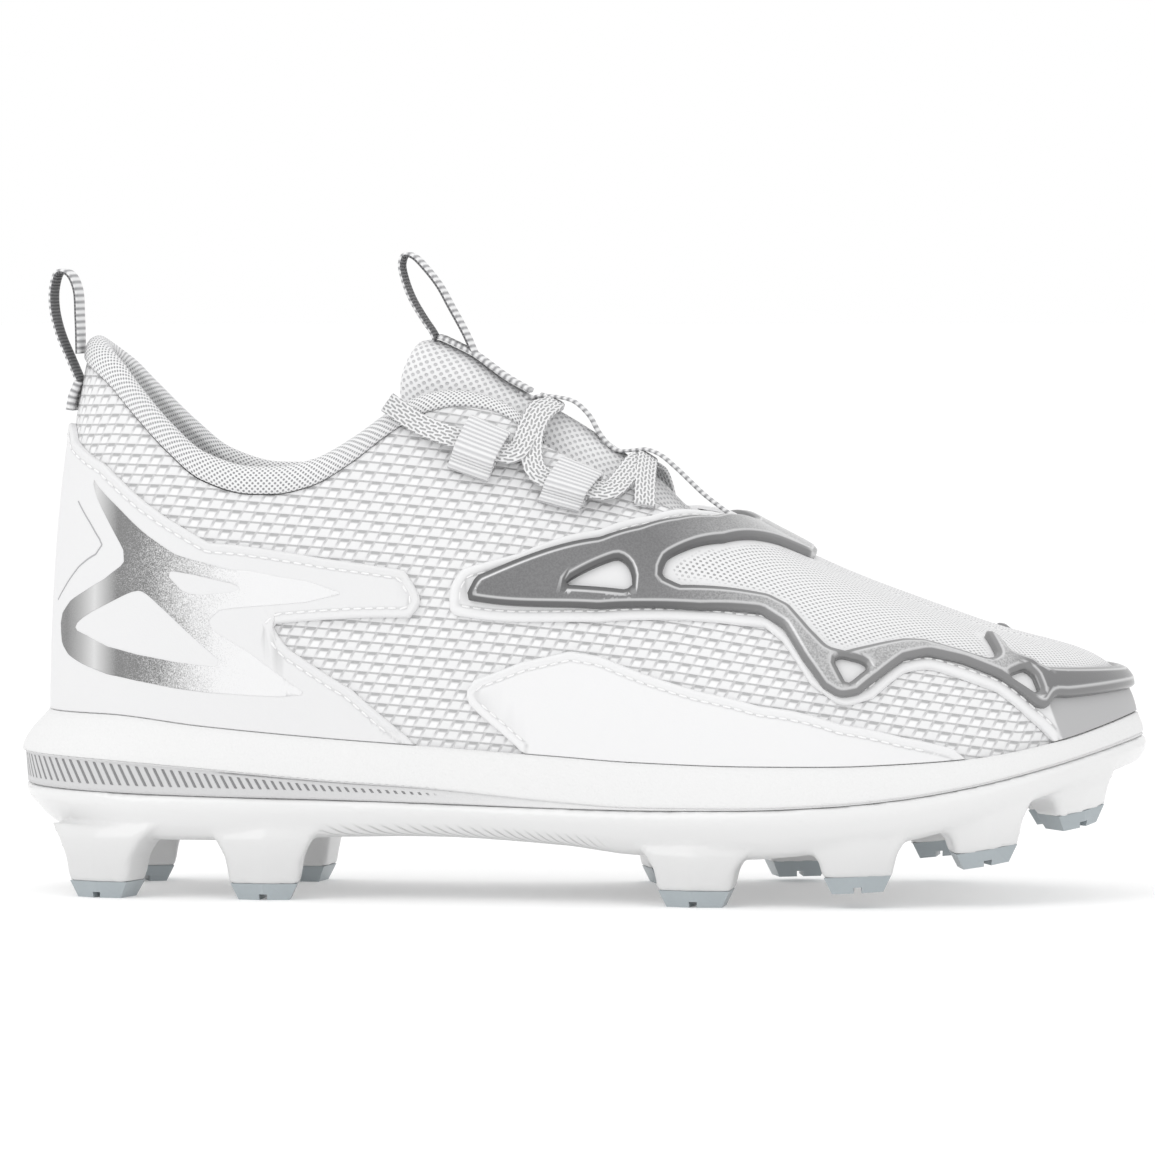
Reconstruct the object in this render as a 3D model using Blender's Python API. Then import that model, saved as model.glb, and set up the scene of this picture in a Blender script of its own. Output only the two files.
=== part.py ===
"""A right moulded baseball cleat, built as its maker would put it together.

Metres, +Z up, toe towards +X, outer (lateral) side towards -Y, ground at Z = 0.
Every piece of the upper is cut from one function, last_point(), which gives the form of the last.
"""

import math

import bmesh
import bpy
import numpy as np
from mathutils.geometry import delaunay_2d_cdt

# Driving sizes, in metres
LENGTH = 0.256
BALL_WIDTH = 0.089
COLLAR_HEIGHT = 0.127
SOLE_HEIGHT = 0.041
GAP = 0.0003
SEAT_GAP = 0.0006
SKIN_GAP = 0.0005
OVERLAY_GAP = 0.0007

# Upper
WALL = 0.0022
TUCK = 0.0034
FILM = 0.0009
FRAME_WALL = 0.0015
COLLAR_ROLL = 0.0070
COLLAR_PAD = 0.0042
COLLAR_DROP = 0.0150
LINING = 0.0012
TONGUE_WALL = 0.0040

# Sole
RIM = 0.0011
BAND_STEP = 0.0007
PLATE_FLOOR = 0.0040
PLATE_WALL = 0.0032
PLATE_BULGE = 0.0010
CUP_SLOPE = 0.0030
INSOLE_WALL = 0.0035
TIP_HEIGHT = 0.0037
TIP_NOTCH_WIDTH = 0.0017
TIP_NOTCH_DEPTH = 0.0013
STUD_ROOT = 0.0030
STUD_RIDGE = 0.0014
STUD_TURN = 0.8
STUD_INWARD = 0.8
STUD_TAPER = 0.86
TIP_TAPER = 0.0018
TIP_LEAN = 0.0006
RIB_PITCH = 0.00185
RIB_SHARE = 0.45
RIB_DEPTH = 0.0005
RIB_END = 0.392
RIB_SPAN = (0.12, 0.90)
RIM_ROUND = 0.0005
SHOULDER_OUT = 0.82
SHOULDER_DOWN = 0.74
INSOLE_SIDE = 0.8

# Laces and webbing
LACE_WIDTH = 0.0050
LACE_WALL = 0.0014
LACE_CLEARANCE = 0.0006
LACE_OVER = 0.0030
LACE_STRAIGHT = 1.7
LACE_TURN = 2.1
KEEPER_SLANT = 0.45
KEEPER_TURN = 0.08
TUCK_OVER = 0.0024
PATTERN_RATE = 1.35
HEEL_TAPE_WIDTH = 0.0100
TONGUE_TAPE_WIDTH = 0.0085
TAPE_WALL = 0.0011
KEEPER_WIDTH = 0.0094
KEEPER_TAIL = 0.0068
KEEPER_WALL = 0.0009
KEEPER_GAP = 0.0007
KEEPER_ROUND = 0.0010
KEEPER_END_WALL = 0.0015
HEEL_TAPE_LAP = 0.060
DOUBLE_TAPE = 0.0018

# The last's pattern: how far it is stretched sideways, and where the crest's ridge starts
PATTERN_STRETCH = 1.7
RIDGE_START = 0.97

# Mesh density
STATIONS = 32
ROWS = 7
PATCH_STEP = 0.0078
COUNTER_STEP = 0.0062

# The line where the upper leaves the sole: shares of LENGTH, then of BALL_WIDTH on each side
FEATHER = (
    # along, lateral, medial
    (0.031, 0.000, 0.000),
    (0.043, 0.130, 0.130),
    (0.070, 0.218, 0.218),
    (0.119, 0.282, 0.282),
    (0.195, 0.310, 0.310),
    (0.301, 0.319, 0.295),
    (0.434, 0.348, 0.276),
    (0.566, 0.410, 0.324),
    (0.666, 0.457, 0.414),
    (0.732, 0.467, 0.457),
    (0.798, 0.448, 0.471),
    (0.864, 0.395, 0.448),
    (0.917, 0.310, 0.390),
    (0.957, 0.190, 0.300),
    (0.982, 0.057, 0.190),
    (0.991, -0.067, 0.067),
)

# Heights of the last's crest, in shares of COLLAR_HEIGHT; over the collar it is imagined
CREST = (
    # along, height
    (0.109, 1.146),
    (0.235, 1.095),
    (0.334, 1.010),
    (0.417, 0.925),
    (0.500, 0.836),
    (0.566, 0.754),
    (0.649, 0.648),
    (0.715, 0.577),
    (0.787, 0.516),
    (0.840, 0.474),
    (0.891, 0.444),
)

# Sideways place of the crest, in shares of BALL_WIDTH, towards the medial side
CREST_SIDE = (
    # along, side
    (0.109, 0.000),
    (0.400, 0.000),
    (0.600, 0.030),
    (0.891, 0.062),
)

# Fullness of the last's section: powers of the cosine and the sine of its quarter ellipse
FULLNESS = (
    # along, lateral, medial, height
    (0.03, 1.00, 1.00, 1.00),
    (0.12, 0.90, 0.90, 1.00),
    (0.30, 0.85, 0.85, 1.00),
    (0.45, 1.00, 0.90, 1.00),
    (0.60, 1.05, 0.95, 0.95),
    (0.75, 1.00, 0.92, 0.85),
    (0.90, 0.90, 0.88, 0.85),
    (0.99, 0.85, 0.85, 0.85),
)

# Levels of the sole's side in shares of SOLE_HEIGHT, and how far it stands out past the feather line
# in shares of BALL_WIDTH. The edge inset is how far the plate's underside starts in from its side
SOLE = (
    # along, top, band, groove, bottom, flare, groove_flare, edge_inset
    (0.000, 1.000, 0.800, 0.620, 0.330, 0.092, 0.078, 0.045),
    (0.090, 0.995, 0.770, 0.590, 0.325, 0.075, 0.062, 0.045),
    (0.180, 0.935, 0.725, 0.572, 0.318, 0.055, 0.047, 0.045),
    (0.290, 0.875, 0.665, 0.558, 0.340, 0.040, 0.036, 0.045),
    (0.380, 0.838, 0.630, 0.545, 0.350, 0.034, 0.034, 0.045),
    (0.500, 0.790, 0.565, 0.528, 0.315, 0.034, 0.036, 0.045),
    (0.567, 0.765, 0.542, 0.525, 0.270, 0.037, 0.038, 0.045),
    (0.660, 0.752, 0.548, 0.534, 0.257, 0.040, 0.038, 0.045),
    (0.740, 0.755, 0.575, 0.560, 0.300, 0.040, 0.036, 0.045),
    (0.800, 0.770, 0.615, 0.600, 0.355, 0.038, 0.034, 0.045),
    (0.860, 0.798, 0.680, 0.665, 0.450, 0.034, 0.030, 0.045),
    (0.930, 0.880, 0.790, 0.775, 0.600, 0.030, 0.027, 0.045),
    (0.995, 1.010, 0.920, 0.900, 0.735, 0.032, 0.032, 0.045),
)

# Height of the opening's edge on the last, as a share of the way from the sole up to the crest
OPENING = (
    # along, share
    (0.031, 0.560),
    (0.066, 0.520),
    (0.092, 0.478),
    (0.132, 0.418),
    (0.167, 0.380),
    (0.200, 0.370),
    (0.232, 0.380),
    (0.267, 0.412),
    (0.302, 0.478),
    (0.331, 0.558),
    (0.367, 0.662),
    (0.403, 0.735),
    (0.433, 0.765),
    (0.460, 0.745),
    (0.485, 0.718),
    (0.536, 0.712),
    (0.589, 0.712),
    (0.625, 0.745),
    (0.652, 0.830),
    (0.672, 0.920),
    (0.684, 1.000),
)
THROAT_END = 0.684

# Studs: place along and across, tip size and height, tilt in degrees and side (-1 lateral, 1 medial)
STUDS = (
    # name, along, across, length, depth, height, tilt, side
    ("heel_rear_lateral", 0.093, 0.270, 0.0110, 0.0085, 0.000, 0.0, -1),
    ("heel_front_lateral", 0.236, 0.300, 0.0116, 0.0085, 0.000, 0.0, -1),
    ("heel_rear_medial", 0.093, 0.270, 0.0110, 0.0085, 0.000, 0.0, 1),
    ("heel_front_medial", 0.236, 0.300, 0.0116, 0.0085, 0.000, 0.0, 1),
    ("ball_lateral", 0.622, 0.420, 0.0126, 0.0088, 0.000, 0.0, -1),
    ("ball_medial", 0.580, 0.330, 0.0126, 0.0088, 0.000, 0.0, 1),
    ("tread_lateral", 0.761, 0.420, 0.0114, 0.0085, 0.085, 3.0, -1),
    ("tread_medial", 0.685, 0.425, 0.0112, 0.0085, 0.032, 1.0, 1),
    ("toe_side_lateral", 0.867, 0.335, 0.0104, 0.0082, 0.225, 9.0, -1),
    ("toe_side_medial", 0.815, 0.430, 0.0104, 0.0082, 0.150, 6.0, 1),
    ("toe_front_lateral", 0.941, 0.170, 0.0090, 0.0078, 0.415, 11.0, -1),
    ("toe_front_medial", 0.925, 0.285, 0.0090, 0.0078, 0.370, 11.0, 1),
)

# The plate's side and a stud's root, level by level
PLATE_SIDE = (
    # way down from the groove to the bottom, share of the bulge, share of the edge inset
    (0.26, 1.0, 0.00),
    (0.66, 0.0, 0.00),
    (0.90, 0.0, 0.35),
    (1.00, 0.0, 1.00),
)
STUD_FLARE = (
    # share of the way up to the root, growth, lean of the outer face
    (0.00, 0.0018, 0.0006),
    (0.45, 0.0028, 0.0009),
    (0.78, 0.0050, 0.0006),
    (1.00, 0.0078, -0.0010),
)

# Outlines on the flattened pattern: along in shares of LENGTH from the middle, across in shares of
# BALL_WIDTH from the centre line, lateral side. The medial side repeats them
COUNTER = (
    (-0.4575, 0.125), (-0.427, 0.243), (-0.374, 0.341), (-0.331, 0.373), (-0.215, 0.379),
    (-0.146, 0.386), (-0.129, 0.416), (-0.142, 0.431), (-0.278, 0.438), (-0.262, 0.456),
    (-0.202, 0.489), (-0.128, 0.556), (-0.200, 0.620), (-0.300, 0.620), (-0.400, 0.560),
    (-0.480, 0.440),
)
COUNTER_TOP = (-0.4665, 0.0)
COUNTER_FOOT = ((-0.54, -0.22), (-0.56, 0.0), (-0.54, 0.22))
SIDE_PANEL = (
    (-0.090, 0.510), (-0.080, 0.500), (-0.035, 0.497), (0.012, 0.504), (0.041, 0.523),
    (0.080, 0.562), (0.138, 0.618), (0.197, 0.667), (0.274, 0.700), (0.332, 0.697),
    (0.385, 0.680), (0.408, 0.700), (0.340, 0.800), (0.243, 0.860), (0.144, 0.830),
    (0.046, 0.760), (0.002, 0.690), (-0.024, 0.608), (-0.054, 0.564), (-0.085, 0.524),
)
VAMP_SIDE = (
    (0.145, 0.020), (0.113, 0.152), (0.074, 0.258), (0.032, 0.321), (-0.039, 0.366),
    (-0.092, 0.383), (-0.104, 0.402), (-0.104, 0.430), (0.038, 0.473), (0.166, 0.483),
    (0.188, 0.478), (0.206, 0.510), (0.238, 0.612), (0.272, 0.660), (0.297, 0.612),
    (0.317, 0.500), (0.335, 0.453), (0.402, 0.438), (0.445, 0.476), (0.484, 0.493),
)
FRAME_OUTER = (
    (0.150, 0.030), (0.124, 0.185), (0.096, 0.250), (0.066, 0.303), (0.033, 0.341),
    (-0.078, 0.393), (-0.089, 0.417), (0.038, 0.456), (0.130, 0.463), (0.182, 0.453),
    (0.204, 0.481), (0.226, 0.557), (0.250, 0.622), (0.267, 0.640), (0.283, 0.620),
    (0.298, 0.553), (0.313, 0.473), (0.332, 0.423), (0.362, 0.403), (0.396, 0.399),
    (0.428, 0.424), (0.442, 0.438), (0.452, 0.420), (0.453, 0.356),
)
FRAME_INNER = (
    (0.429, 0.267), (0.416, 0.252), (0.396, 0.264), (0.376, 0.182), (0.366, 0.194),
    (0.387, 0.312), (0.382, 0.348), (0.323, 0.372), (0.307, 0.398), (0.280, 0.466),
    (0.261, 0.508), (0.246, 0.510), (0.227, 0.469), (0.205, 0.413), (0.186, 0.397),
    (0.152, 0.404), (0.109, 0.415), (0.090, 0.400), (0.094, 0.361), (0.119, 0.305),
    (0.139, 0.262), (0.158, 0.190), (0.180, 0.110), (0.206, 0.045),
)
REAR_WINDOW = ((0.003, 0.415), (0.052, 0.374), (0.062, 0.389), (0.067, 0.422), (0.061, 0.429))
MIDDLE_WINDOW = ((0.254, 0.545), (0.259, 0.529), (0.279, 0.527), (0.285, 0.540), (0.271, 0.604))
FRONT_WINDOW = ((0.404, 0.384), (0.415, 0.316), (0.425, 0.332), (0.437, 0.380), (0.434, 0.398))
CORNER = 0.004
FRAME_CORNER = 0.003
TOE_ARC_START = 0.94
BUMPER_TOP = 0.425
BUMPER_FOOT = 0.260

# Padding of the collar and the tongue
COLLAR_END = 0.480
COLLAR_END_STEP = 0.002
COLLAR_TAPER = (
    # along, height and thickness as shares of the full roll and padding
    (0.030, 1.00, 1.00),
    (0.320, 1.00, 1.00),
    (0.370, 0.90, 0.64),
    (0.420, 0.78, 0.48),
    (0.480, 0.66, 0.42),
)
COLLAR_SECTION = (
    # way up from the opening's edge in COLLAR_ROLL, way out from the wall's outer face in COLLAR_PAD
    (0.06, 0.12),
    (0.50, 0.26),
    (0.92, 0.00),
    (0.96, -0.70),
)
COLLAR_INSIDE = 1.25
COLLAR_BACK = (0.44, -0.60)
TONGUE = (
    # along, half width as a share of the way down to the sole, lift at the middle, lift at the edges
    (0.360, 0.400, 0.0012, -0.0088),
    (0.375, 0.425, 0.0026, -0.0086),
    (0.400, 0.425, 0.0028, -0.0088),
    (0.440, 0.395, 0.0024, -0.0084),
    (0.500, 0.365, 0.0020, -0.0066),
    (0.565, 0.340, 0.0008, -0.0052),
    (0.600, 0.310, -0.0022, -0.0048),
    (0.620, 0.270, -0.0042, -0.0048),
    (0.690, 0.210, -0.0040, -0.0044),
)
TONGUE_SWEEP = 0.010
TONGUE_ROUND = 0.030
TONGUE_BEND = 0.22
TONGUE_THINNING = 0.55
TONGUE_END = 0.02
TONGUE_END_WALL = 0.45
TONGUE_ROWS = 13
TONGUE_COLUMNS = 8

# The lace's stops on the pattern, from the toe back: along and across; the medial ones lie further forward
LACE_HOLE = (0.068, 0.236)
FRONT_KEEPER = (0.003, 0.248)
REAR_KEEPER = (-0.080, 0.224)
LACE_TUCK = (-0.150, 0.226)
MEDIAL_SHIFT = 0.006

# How a strand lifts over the tongue between two stops, and over the collar's roll at its end
LACE_ARCH = (
    # share of the way, share of LACE_OVER
    (0.16, 0.3),
    (0.34, 0.8),
    (0.50, 1.0),
    (0.66, 0.8),
    (0.84, 0.3),
)
LACE_END = (
    # share of the way, share of TUCK_OVER
    (0.35, 0.3),
    (0.75, 0.6),
    (1.00, 1.0),
)

# Pull loops seen from the side, middle of the ribbon: shares of LENGTH and of COLLAR_HEIGHT
HEEL_LOOP = (
    (-0.4470, 0.915), (-0.4560, 0.957), (-0.4650, 1.000), (-0.4705, 1.045), (-0.4705, 1.085),
    (-0.4655, 1.112), (-0.4570, 1.110), (-0.4500, 1.085), (-0.4478, 1.030), (-0.4470, 0.965),
)
HEEL_TAPE_FOOT = 0.862
TONGUE_LOOP = (
    (-0.1290, 1.004), (-0.1365, 1.026), (-0.1477, 1.064), (-0.1543, 1.098), (-0.1570, 1.127),
    (-0.1536, 1.143), (-0.1464, 1.140), (-0.1351, 1.118), (-0.1228, 1.086), (-0.1132, 1.051),
    (-0.1033, 1.015), (-0.0975, 0.992),
)
TONGUE_TAPE_FRONT = 0.455
TONGUE_TAPE_STEP = 0.007


def clear_scene():
    for obj in list(bpy.data.objects):
        bpy.data.objects.remove(obj)


def column(table, index):
    return np.array([row[index] for row in table], float)


def eased(table, x, index=1):
    """A smooth curve through a table's rows that never overshoots them."""
    xs, ys = column(table, 0), column(table, index)
    rise = np.diff(ys) / np.diff(xs)
    slope = np.concatenate([rise[:1], np.zeros(len(xs) - 2), rise[-1:]])
    for i in range(1, len(xs) - 1):
        if rise[i - 1] * rise[i] > 0:
            slope[i] = 2 * rise[i - 1] * rise[i] / (rise[i - 1] + rise[i])
    x = np.clip(x, xs[0], xs[-1])
    i = np.clip(np.searchsorted(xs, x) - 1, 0, len(xs) - 2)
    span = xs[i + 1] - xs[i]
    t = (x - xs[i]) / span
    start = (1 + 2 * t) * (1 - t) ** 2 * ys[i] + t * (1 - t) ** 2 * span * slope[i]
    return start + t * t * (3 - 2 * t) * ys[i + 1] + t * t * (t - 1) * span * slope[i + 1]


def curve_through(points, closed, steps):
    """Centripetal Catmull-Rom curve through the points, steps to each span."""
    points = np.array(points, float)
    count = len(points)
    if closed:
        padded = np.vstack([points[-1:], points, points[:2]])
    else:
        padded = np.vstack([2 * points[0] - points[1], points, 2 * points[-1] - points[-2]])
    made = []
    for i in range(count if closed else count - 1):
        a, b, c, d = padded[i : i + 4]
        ta = 0.0
        tb = ta + max(np.linalg.norm(b - a), 1e-9) ** 0.5
        tc = tb + max(np.linalg.norm(c - b), 1e-9) ** 0.5
        td = tc + max(np.linalg.norm(d - c), 1e-9) ** 0.5
        t = np.linspace(tb, tc, steps, endpoint=False)[:, None]
        ab = (a * (tb - t) + b * (t - ta)) / (tb - ta)
        bc = (b * (tc - t) + c * (t - tb)) / (tc - tb)
        cd = (c * (td - t) + d * (t - tc)) / (td - tc)
        abc = (ab * (tc - t) + bc * (t - ta)) / (tc - ta)
        bcd = (bc * (td - t) + cd * (t - tb)) / (td - tb)
        made.append((abc * (tc - t) + bcd * (t - tb)) / (tc - tb))
    if not closed:
        made.append(points[-1:])
    return np.concatenate(made)


def feather_branches():
    """The feather line as two dense branches from heel to toe, lateral then medial."""
    lateral = [((a - 0.5) * LENGTH, -l * BALL_WIDTH) for a, l, m in FEATHER]
    medial = [((a - 0.5) * LENGTH, m * BALL_WIDTH) for a, l, m in FEATHER]
    ring = curve_through(lateral[::-1] + medial[1:-1], True, 40)
    heel, toe = int(ring[:, 0].argmin()), int(ring[:, 0].argmax())
    ring = np.roll(ring, -toe, axis=0)
    split = (heel - toe) % len(ring)
    near = ring[: split + 1][::-1]
    far = np.vstack([ring[split:], ring[:1]])
    return near, far


LATERAL, MEDIAL = feather_branches()
HEEL_X, TOE_X = LATERAL[0, 0], LATERAL[-1, 0]


def crest_of(x):
    """Crest point that the wall over feather place x leans towards."""
    share = (x - HEEL_X) / (TOE_X - HEEL_X)
    along = CREST[0][0] + share * (CREST[-1][0] - CREST[0][0])
    side = eased(CREST_SIDE, along) * BALL_WIDTH
    return (along - 0.5) * LENGTH, side, eased(CREST, along) * COLLAR_HEIGHT


def sole_level(x, index):
    return eased(SOLE, x / LENGTH + 0.5, index) * SOLE_HEIGHT


def sole_flare(x, index):
    return eased(SOLE, x / LENGTH + 0.5, index) * BALL_WIDTH


TOP, BAND, GROOVE, BOTTOM, FLARE, GROOVE_FLARE, EDGE_INSET = range(1, 8)


def last_point(feather, share):
    """Point of the last over feather points (x, y), share 0 at the sole to 1 at the crest."""
    x, y = feather[..., 0], feather[..., 1]
    crest_x, crest_y, crest_z = crest_of(x)
    foot = sole_level(x, TOP) - TUCK
    along = x / LENGTH + 0.5
    medial = 0.5 + 0.5 * np.tanh((y - crest_y) / (0.09 * BALL_WIDTH))
    power = eased(FULLNESS, along, 1) * (1 - medial) + eased(FULLNESS, along, 2) * medial
    out = np.cos(share * math.pi / 2).clip(0) ** power
    up = np.sin(share * math.pi / 2) ** eased(FULLNESS, along, 3)
    return np.stack(
        [crest_x + (x - crest_x) * out, crest_y + (y - crest_y) * out, foot + (crest_z - foot) * up],
        -1,
    )


def branch(side):
    return LATERAL if side < 0 else MEDIAL


def feather_at(x, side):
    line = branch(side)
    return np.stack([x, np.interp(x, line[:, 0], line[:, 1])], -1)


def spot_on(line, position):
    """Point at a fractional index of a dense branch."""
    whole = np.arange(len(line))
    return np.stack([np.interp(position, whole, line[:, k]) for k in (0, 1)], -1)


def last_normal(position, side, share):
    """Outward unit normal of the last, at a fractional index of a branch."""
    line = branch(side)
    step, rise = 1.0, 0.004
    position = np.asarray(position, float)
    share = np.broadcast_to(np.asarray(share, float), position.shape)
    before = spot_on(line, np.clip(position - step, 0, len(line) - 1))
    after = spot_on(line, np.clip(position + step, 0, len(line) - 1))
    low, high = np.clip(share - rise, 0, 1 - rise), np.clip(share + rise, rise, 1)
    here = spot_on(line, position)
    along = last_point(after, np.minimum(share, 0.995)) - last_point(before, np.minimum(share, 0.995))
    upward = last_point(here, high) - last_point(here, low)
    normal = np.cross(along, upward) * (1.0 if side < 0 else -1.0)
    crest_x, crest_y, crest_z = crest_of(here[..., 0])
    ahead_x, ahead_y, ahead_z = crest_of(here[..., 0] + 0.001)
    ridge = np.stack([crest_z - ahead_z, 0 * crest_z, ahead_x - crest_x], -1)
    ridge /= np.linalg.norm(ridge, axis=-1, keepdims=True)
    normal /= np.linalg.norm(normal, axis=-1, keepdims=True).clip(1e-12)
    blend = np.clip((share - RIDGE_START) / (1 - RIDGE_START), 0, 1)[..., None]
    normal = normal * (1 - blend) + ridge * blend
    return normal / np.linalg.norm(normal, axis=-1, keepdims=True)


def from_pattern(points):
    """Where points of the flattened pattern (x, y) lie: branch index, side and share of the way up."""
    points = np.atleast_2d(np.array(points, float))
    position, side, share = np.zeros(len(points)), np.ones(len(points)), np.zeros(len(points))
    found = np.full(len(points), np.inf)
    for sign in (-1, 1):
        line = branch(sign)
        crest_x, crest_y, crest_z = crest_of(line[:, 0])
        crest = np.stack([crest_x, crest_y], -1)
        out = line - crest
        for i, point in enumerate(points):
            to = point - crest
            turn = out[:, 0] * to[:, 1] - out[:, 1] * to[:, 0]
            facing = (out * to).sum(-1)
            ahead = (facing[:-1] > -1e-9) | (facing[1:] > -1e-9)
            for k in np.nonzero((turn[:-1] * turn[1:] <= 0) & ahead)[0]:
                part = turn[k] / (turn[k] - turn[k + 1]) if turn[k] != turn[k + 1] else 0.0
                reach = np.linalg.norm(out[k] * (1 - part) + out[k + 1] * part)
                gone = np.linalg.norm(to[k] * (1 - part) + to[k + 1] * part)
                if facing[k] * (1 - part) + facing[k + 1] * part < -1e-9 or gone / reach > found[i] + 1e-6:
                    continue
                found[i] = gone / reach
                position[i], side[i] = k + part, sign
                share[i] = max(0.0, 1 - gone / (reach * PATTERN_STRETCH))
    return position, side, share


def placed(pattern, lift):
    """Points of the flattened pattern set on the last, lift metres out from it."""
    position, side, share = from_pattern(pattern)
    made = np.zeros((len(position), 3))
    normals = np.zeros((len(position), 3))
    for sign in (-1, 1):
        pick = side == sign
        if pick.any():
            feather = spot_on(branch(sign), position[pick])
            normals[pick] = last_normal(position[pick], sign, share[pick])
            made[pick] = last_point(feather, share[pick])
    lift = np.broadcast_to(np.asarray(lift, float), (len(made),))
    return made + normals * lift[:, None], normals


def pattern_point(position, side, share):
    """Where a place of the last lies on the flattened pattern."""
    feather = spot_on(branch(side), position)
    crest_x, crest_y, _ = crest_of(feather[..., 0])
    crest = np.stack([crest_x, crest_y], -1)
    return crest + (feather - crest) * PATTERN_STRETCH * (1 - np.asarray(share)[..., None])


def seat_share(position, side):
    """How far up the last the midsole's rim ends, as a share, with a gap above it."""
    x = spot_on(branch(side), position)[..., 0]
    foot = sole_level(x, TOP) - TUCK
    _, _, crest_z = crest_of(x)
    rise = (TUCK + SEAT_GAP) / (crest_z - foot)
    return np.arcsin(rise ** (1 / eased(FULLNESS, x / LENGTH + 0.5, 3))) * 2 / math.pi


def seated(loop):
    """The pattern loop with no point below the midsole's rim."""
    position, side, share = from_pattern(loop)
    made = np.array(loop, float)
    for sign in (-1, 1):
        lowest = seat_share(position, sign)
        low = (side == sign) & (share < lowest)
        made[low] = pattern_point(position[low], sign, lowest[low])
    return made


def on_pattern(outline, side):
    """An outline in shares as pattern points; the medial side has it at the same heights of the last."""
    lateral = np.array([(along * LENGTH, -across * BALL_WIDTH) for along, across in outline])
    if side < 0:
        return [tuple(p) for p in lateral]
    position, found, share = from_pattern(lateral)
    x = spot_on(LATERAL, position)[:, 0]
    opposite = np.interp(x, MEDIAL[:, 0], np.arange(len(MEDIAL)))
    return [tuple(p) for p in pattern_point(opposite, 1, share)]


def rounded(corners, radius, steps=2):
    """The polygon with each corner cut to an arc-like curve, its reach limited by the short sides."""
    corners = [np.array(c, float) for c in corners]
    made = []
    for i, here in enumerate(corners):
        before, after = corners[i - 1], corners[(i + 1) % len(corners)]
        back, on = before - here, after - here
        if back @ on / (np.linalg.norm(back) * np.linalg.norm(on)) < -0.8:
            made.append(here)
            continue
        reach = min(radius, 0.42 * np.linalg.norm(back), 0.42 * np.linalg.norm(on))
        start = here + back / np.linalg.norm(back) * reach
        end = here + on / np.linalg.norm(on) * reach
        for k in range(steps + 1):
            t = k / steps
            made.append((1 - t) ** 2 * start + 2 * t * (1 - t) * here + t * t * end)
    return made


def resampled(loop, step):
    """The closed loop with its long edges divided into pieces of about step."""
    made = []
    for i, here in enumerate(loop):
        after = loop[(i + 1) % len(loop)]
        count = max(1, round(float(np.linalg.norm(after - here)) / step))
        made += [here + (after - here) * k / count for k in range(count)]
    return made


def inside(points, loop):
    """Even-odd test of points against a closed loop."""
    loop = np.array(loop)
    hit = np.zeros(len(points), bool)
    for a, b in zip(loop, np.roll(loop, -1, axis=0)):
        if a[1] == b[1]:
            continue
        straddles = (a[1] > points[:, 1]) != (b[1] > points[:, 1])
        hit ^= straddles & (points[:, 0] < a[0] + (points[:, 1] - a[1]) * (b[0] - a[0]) / (b[1] - a[1]))
    return hit


def triangulated(outline, holes, step):
    """Flat triangle mesh of an outline with holes: points, and triangles counter-clockwise."""
    loops = [seated(resampled(loop, step)) for loop in [outline, *holes]]
    low, high = loops[0].min(0), loops[0].max(0)
    xs = np.arange(low[0] + step / 2, high[0], step)
    ys = np.arange(low[1] + step / 2, high[1], step * 0.87)
    grid = np.array([(x + (j % 2) * step / 2, y) for j, y in enumerate(ys) for x in xs])
    keep = inside(grid, loops[0])
    for hole in loops[1:]:
        keep &= ~inside(grid, hole)
    border = np.concatenate(loops)
    apart = np.linalg.norm(grid[:, None] - border[None], axis=-1).min(1)
    grid = grid[keep & (apart > 0.55 * step)]
    edges, start = [], 0
    for loop in loops:
        count = len(loop)
        edges += [(start + i, start + (i + 1) % count) for i in range(count)]
        start += count
    points = [tuple(p) for p in np.concatenate([border, grid])]
    flat, _, faces, _, _, _ = delaunay_2d_cdt(points, edges, [], 0, 1e-9)
    flat = np.array([tuple(p) for p in flat])
    middles = np.array([flat[list(f)].mean(0) for f in faces])
    kept = inside(middles, loops[0])
    for hole in loops[1:]:
        kept &= ~inside(middles, hole)
    return flat, [tuple(f) for f, k in zip(faces, kept) if k]


def mesh_object(name, points, faces, material):
    """An object from points and faces, doubles merged and normals made to point out."""
    mesh = bpy.data.meshes.new(name)
    work = bmesh.new()
    verts = [work.verts.new(tuple(float(c) for c in p)) for p in points]
    whole = [face for face in faces if len(face) != 4]
    halves = [half for a, b, c, d in (f for f in faces if len(f) == 4) for half in ((a, b, c), (a, c, d))]
    for face in whole + halves:
        corners = []
        for index in face:
            if verts[index] not in corners:
                corners.append(verts[index])
        if len(corners) > 2 and work.faces.get(corners) is None:
            work.faces.new(corners)
    bmesh.ops.remove_doubles(work, verts=work.verts, dist=2e-6)
    bmesh.ops.delete(work, geom=[v for v in work.verts if not v.link_faces], context="VERTS")
    bmesh.ops.recalc_face_normals(work, faces=work.faces)
    if work.calc_volume(signed=True) < 0:
        bmesh.ops.reverse_faces(work, faces=work.faces)
    bmesh.ops.triangulate(work, faces=work.faces)
    work.to_mesh(mesh)
    work.free()
    mesh.shade_smooth()
    mesh.set_sharp_from_angle(angle=math.radians(40))
    mesh.materials.append(material)
    obj = bpy.data.objects.new(name, mesh)
    bpy.context.scene.collection.objects.link(obj)
    return obj


def finish(name, colour, roughness, metallic=0.0):
    material = bpy.data.materials.new(name)
    material.use_nodes = True
    shader = material.node_tree.nodes["Principled BSDF"]
    shader.inputs["Base Color"].default_value = (*colour, 1.0)
    shader.inputs["Roughness"].default_value = roughness
    shader.inputs["Metallic"].default_value = metallic
    return material


def grid_faces(rows, columns, start=0, wrap=False):
    """Quads of a grid of points stored row by row."""
    across = columns if wrap else columns - 1
    return [
        (
            start + r * columns + c,
            start + r * columns + (c + 1) % columns,
            start + (r + 1) * columns + (c + 1) % columns,
            start + (r + 1) * columns + c,
        )
        for r in range(rows - 1)
        for c in range(across)
    ]


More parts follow.
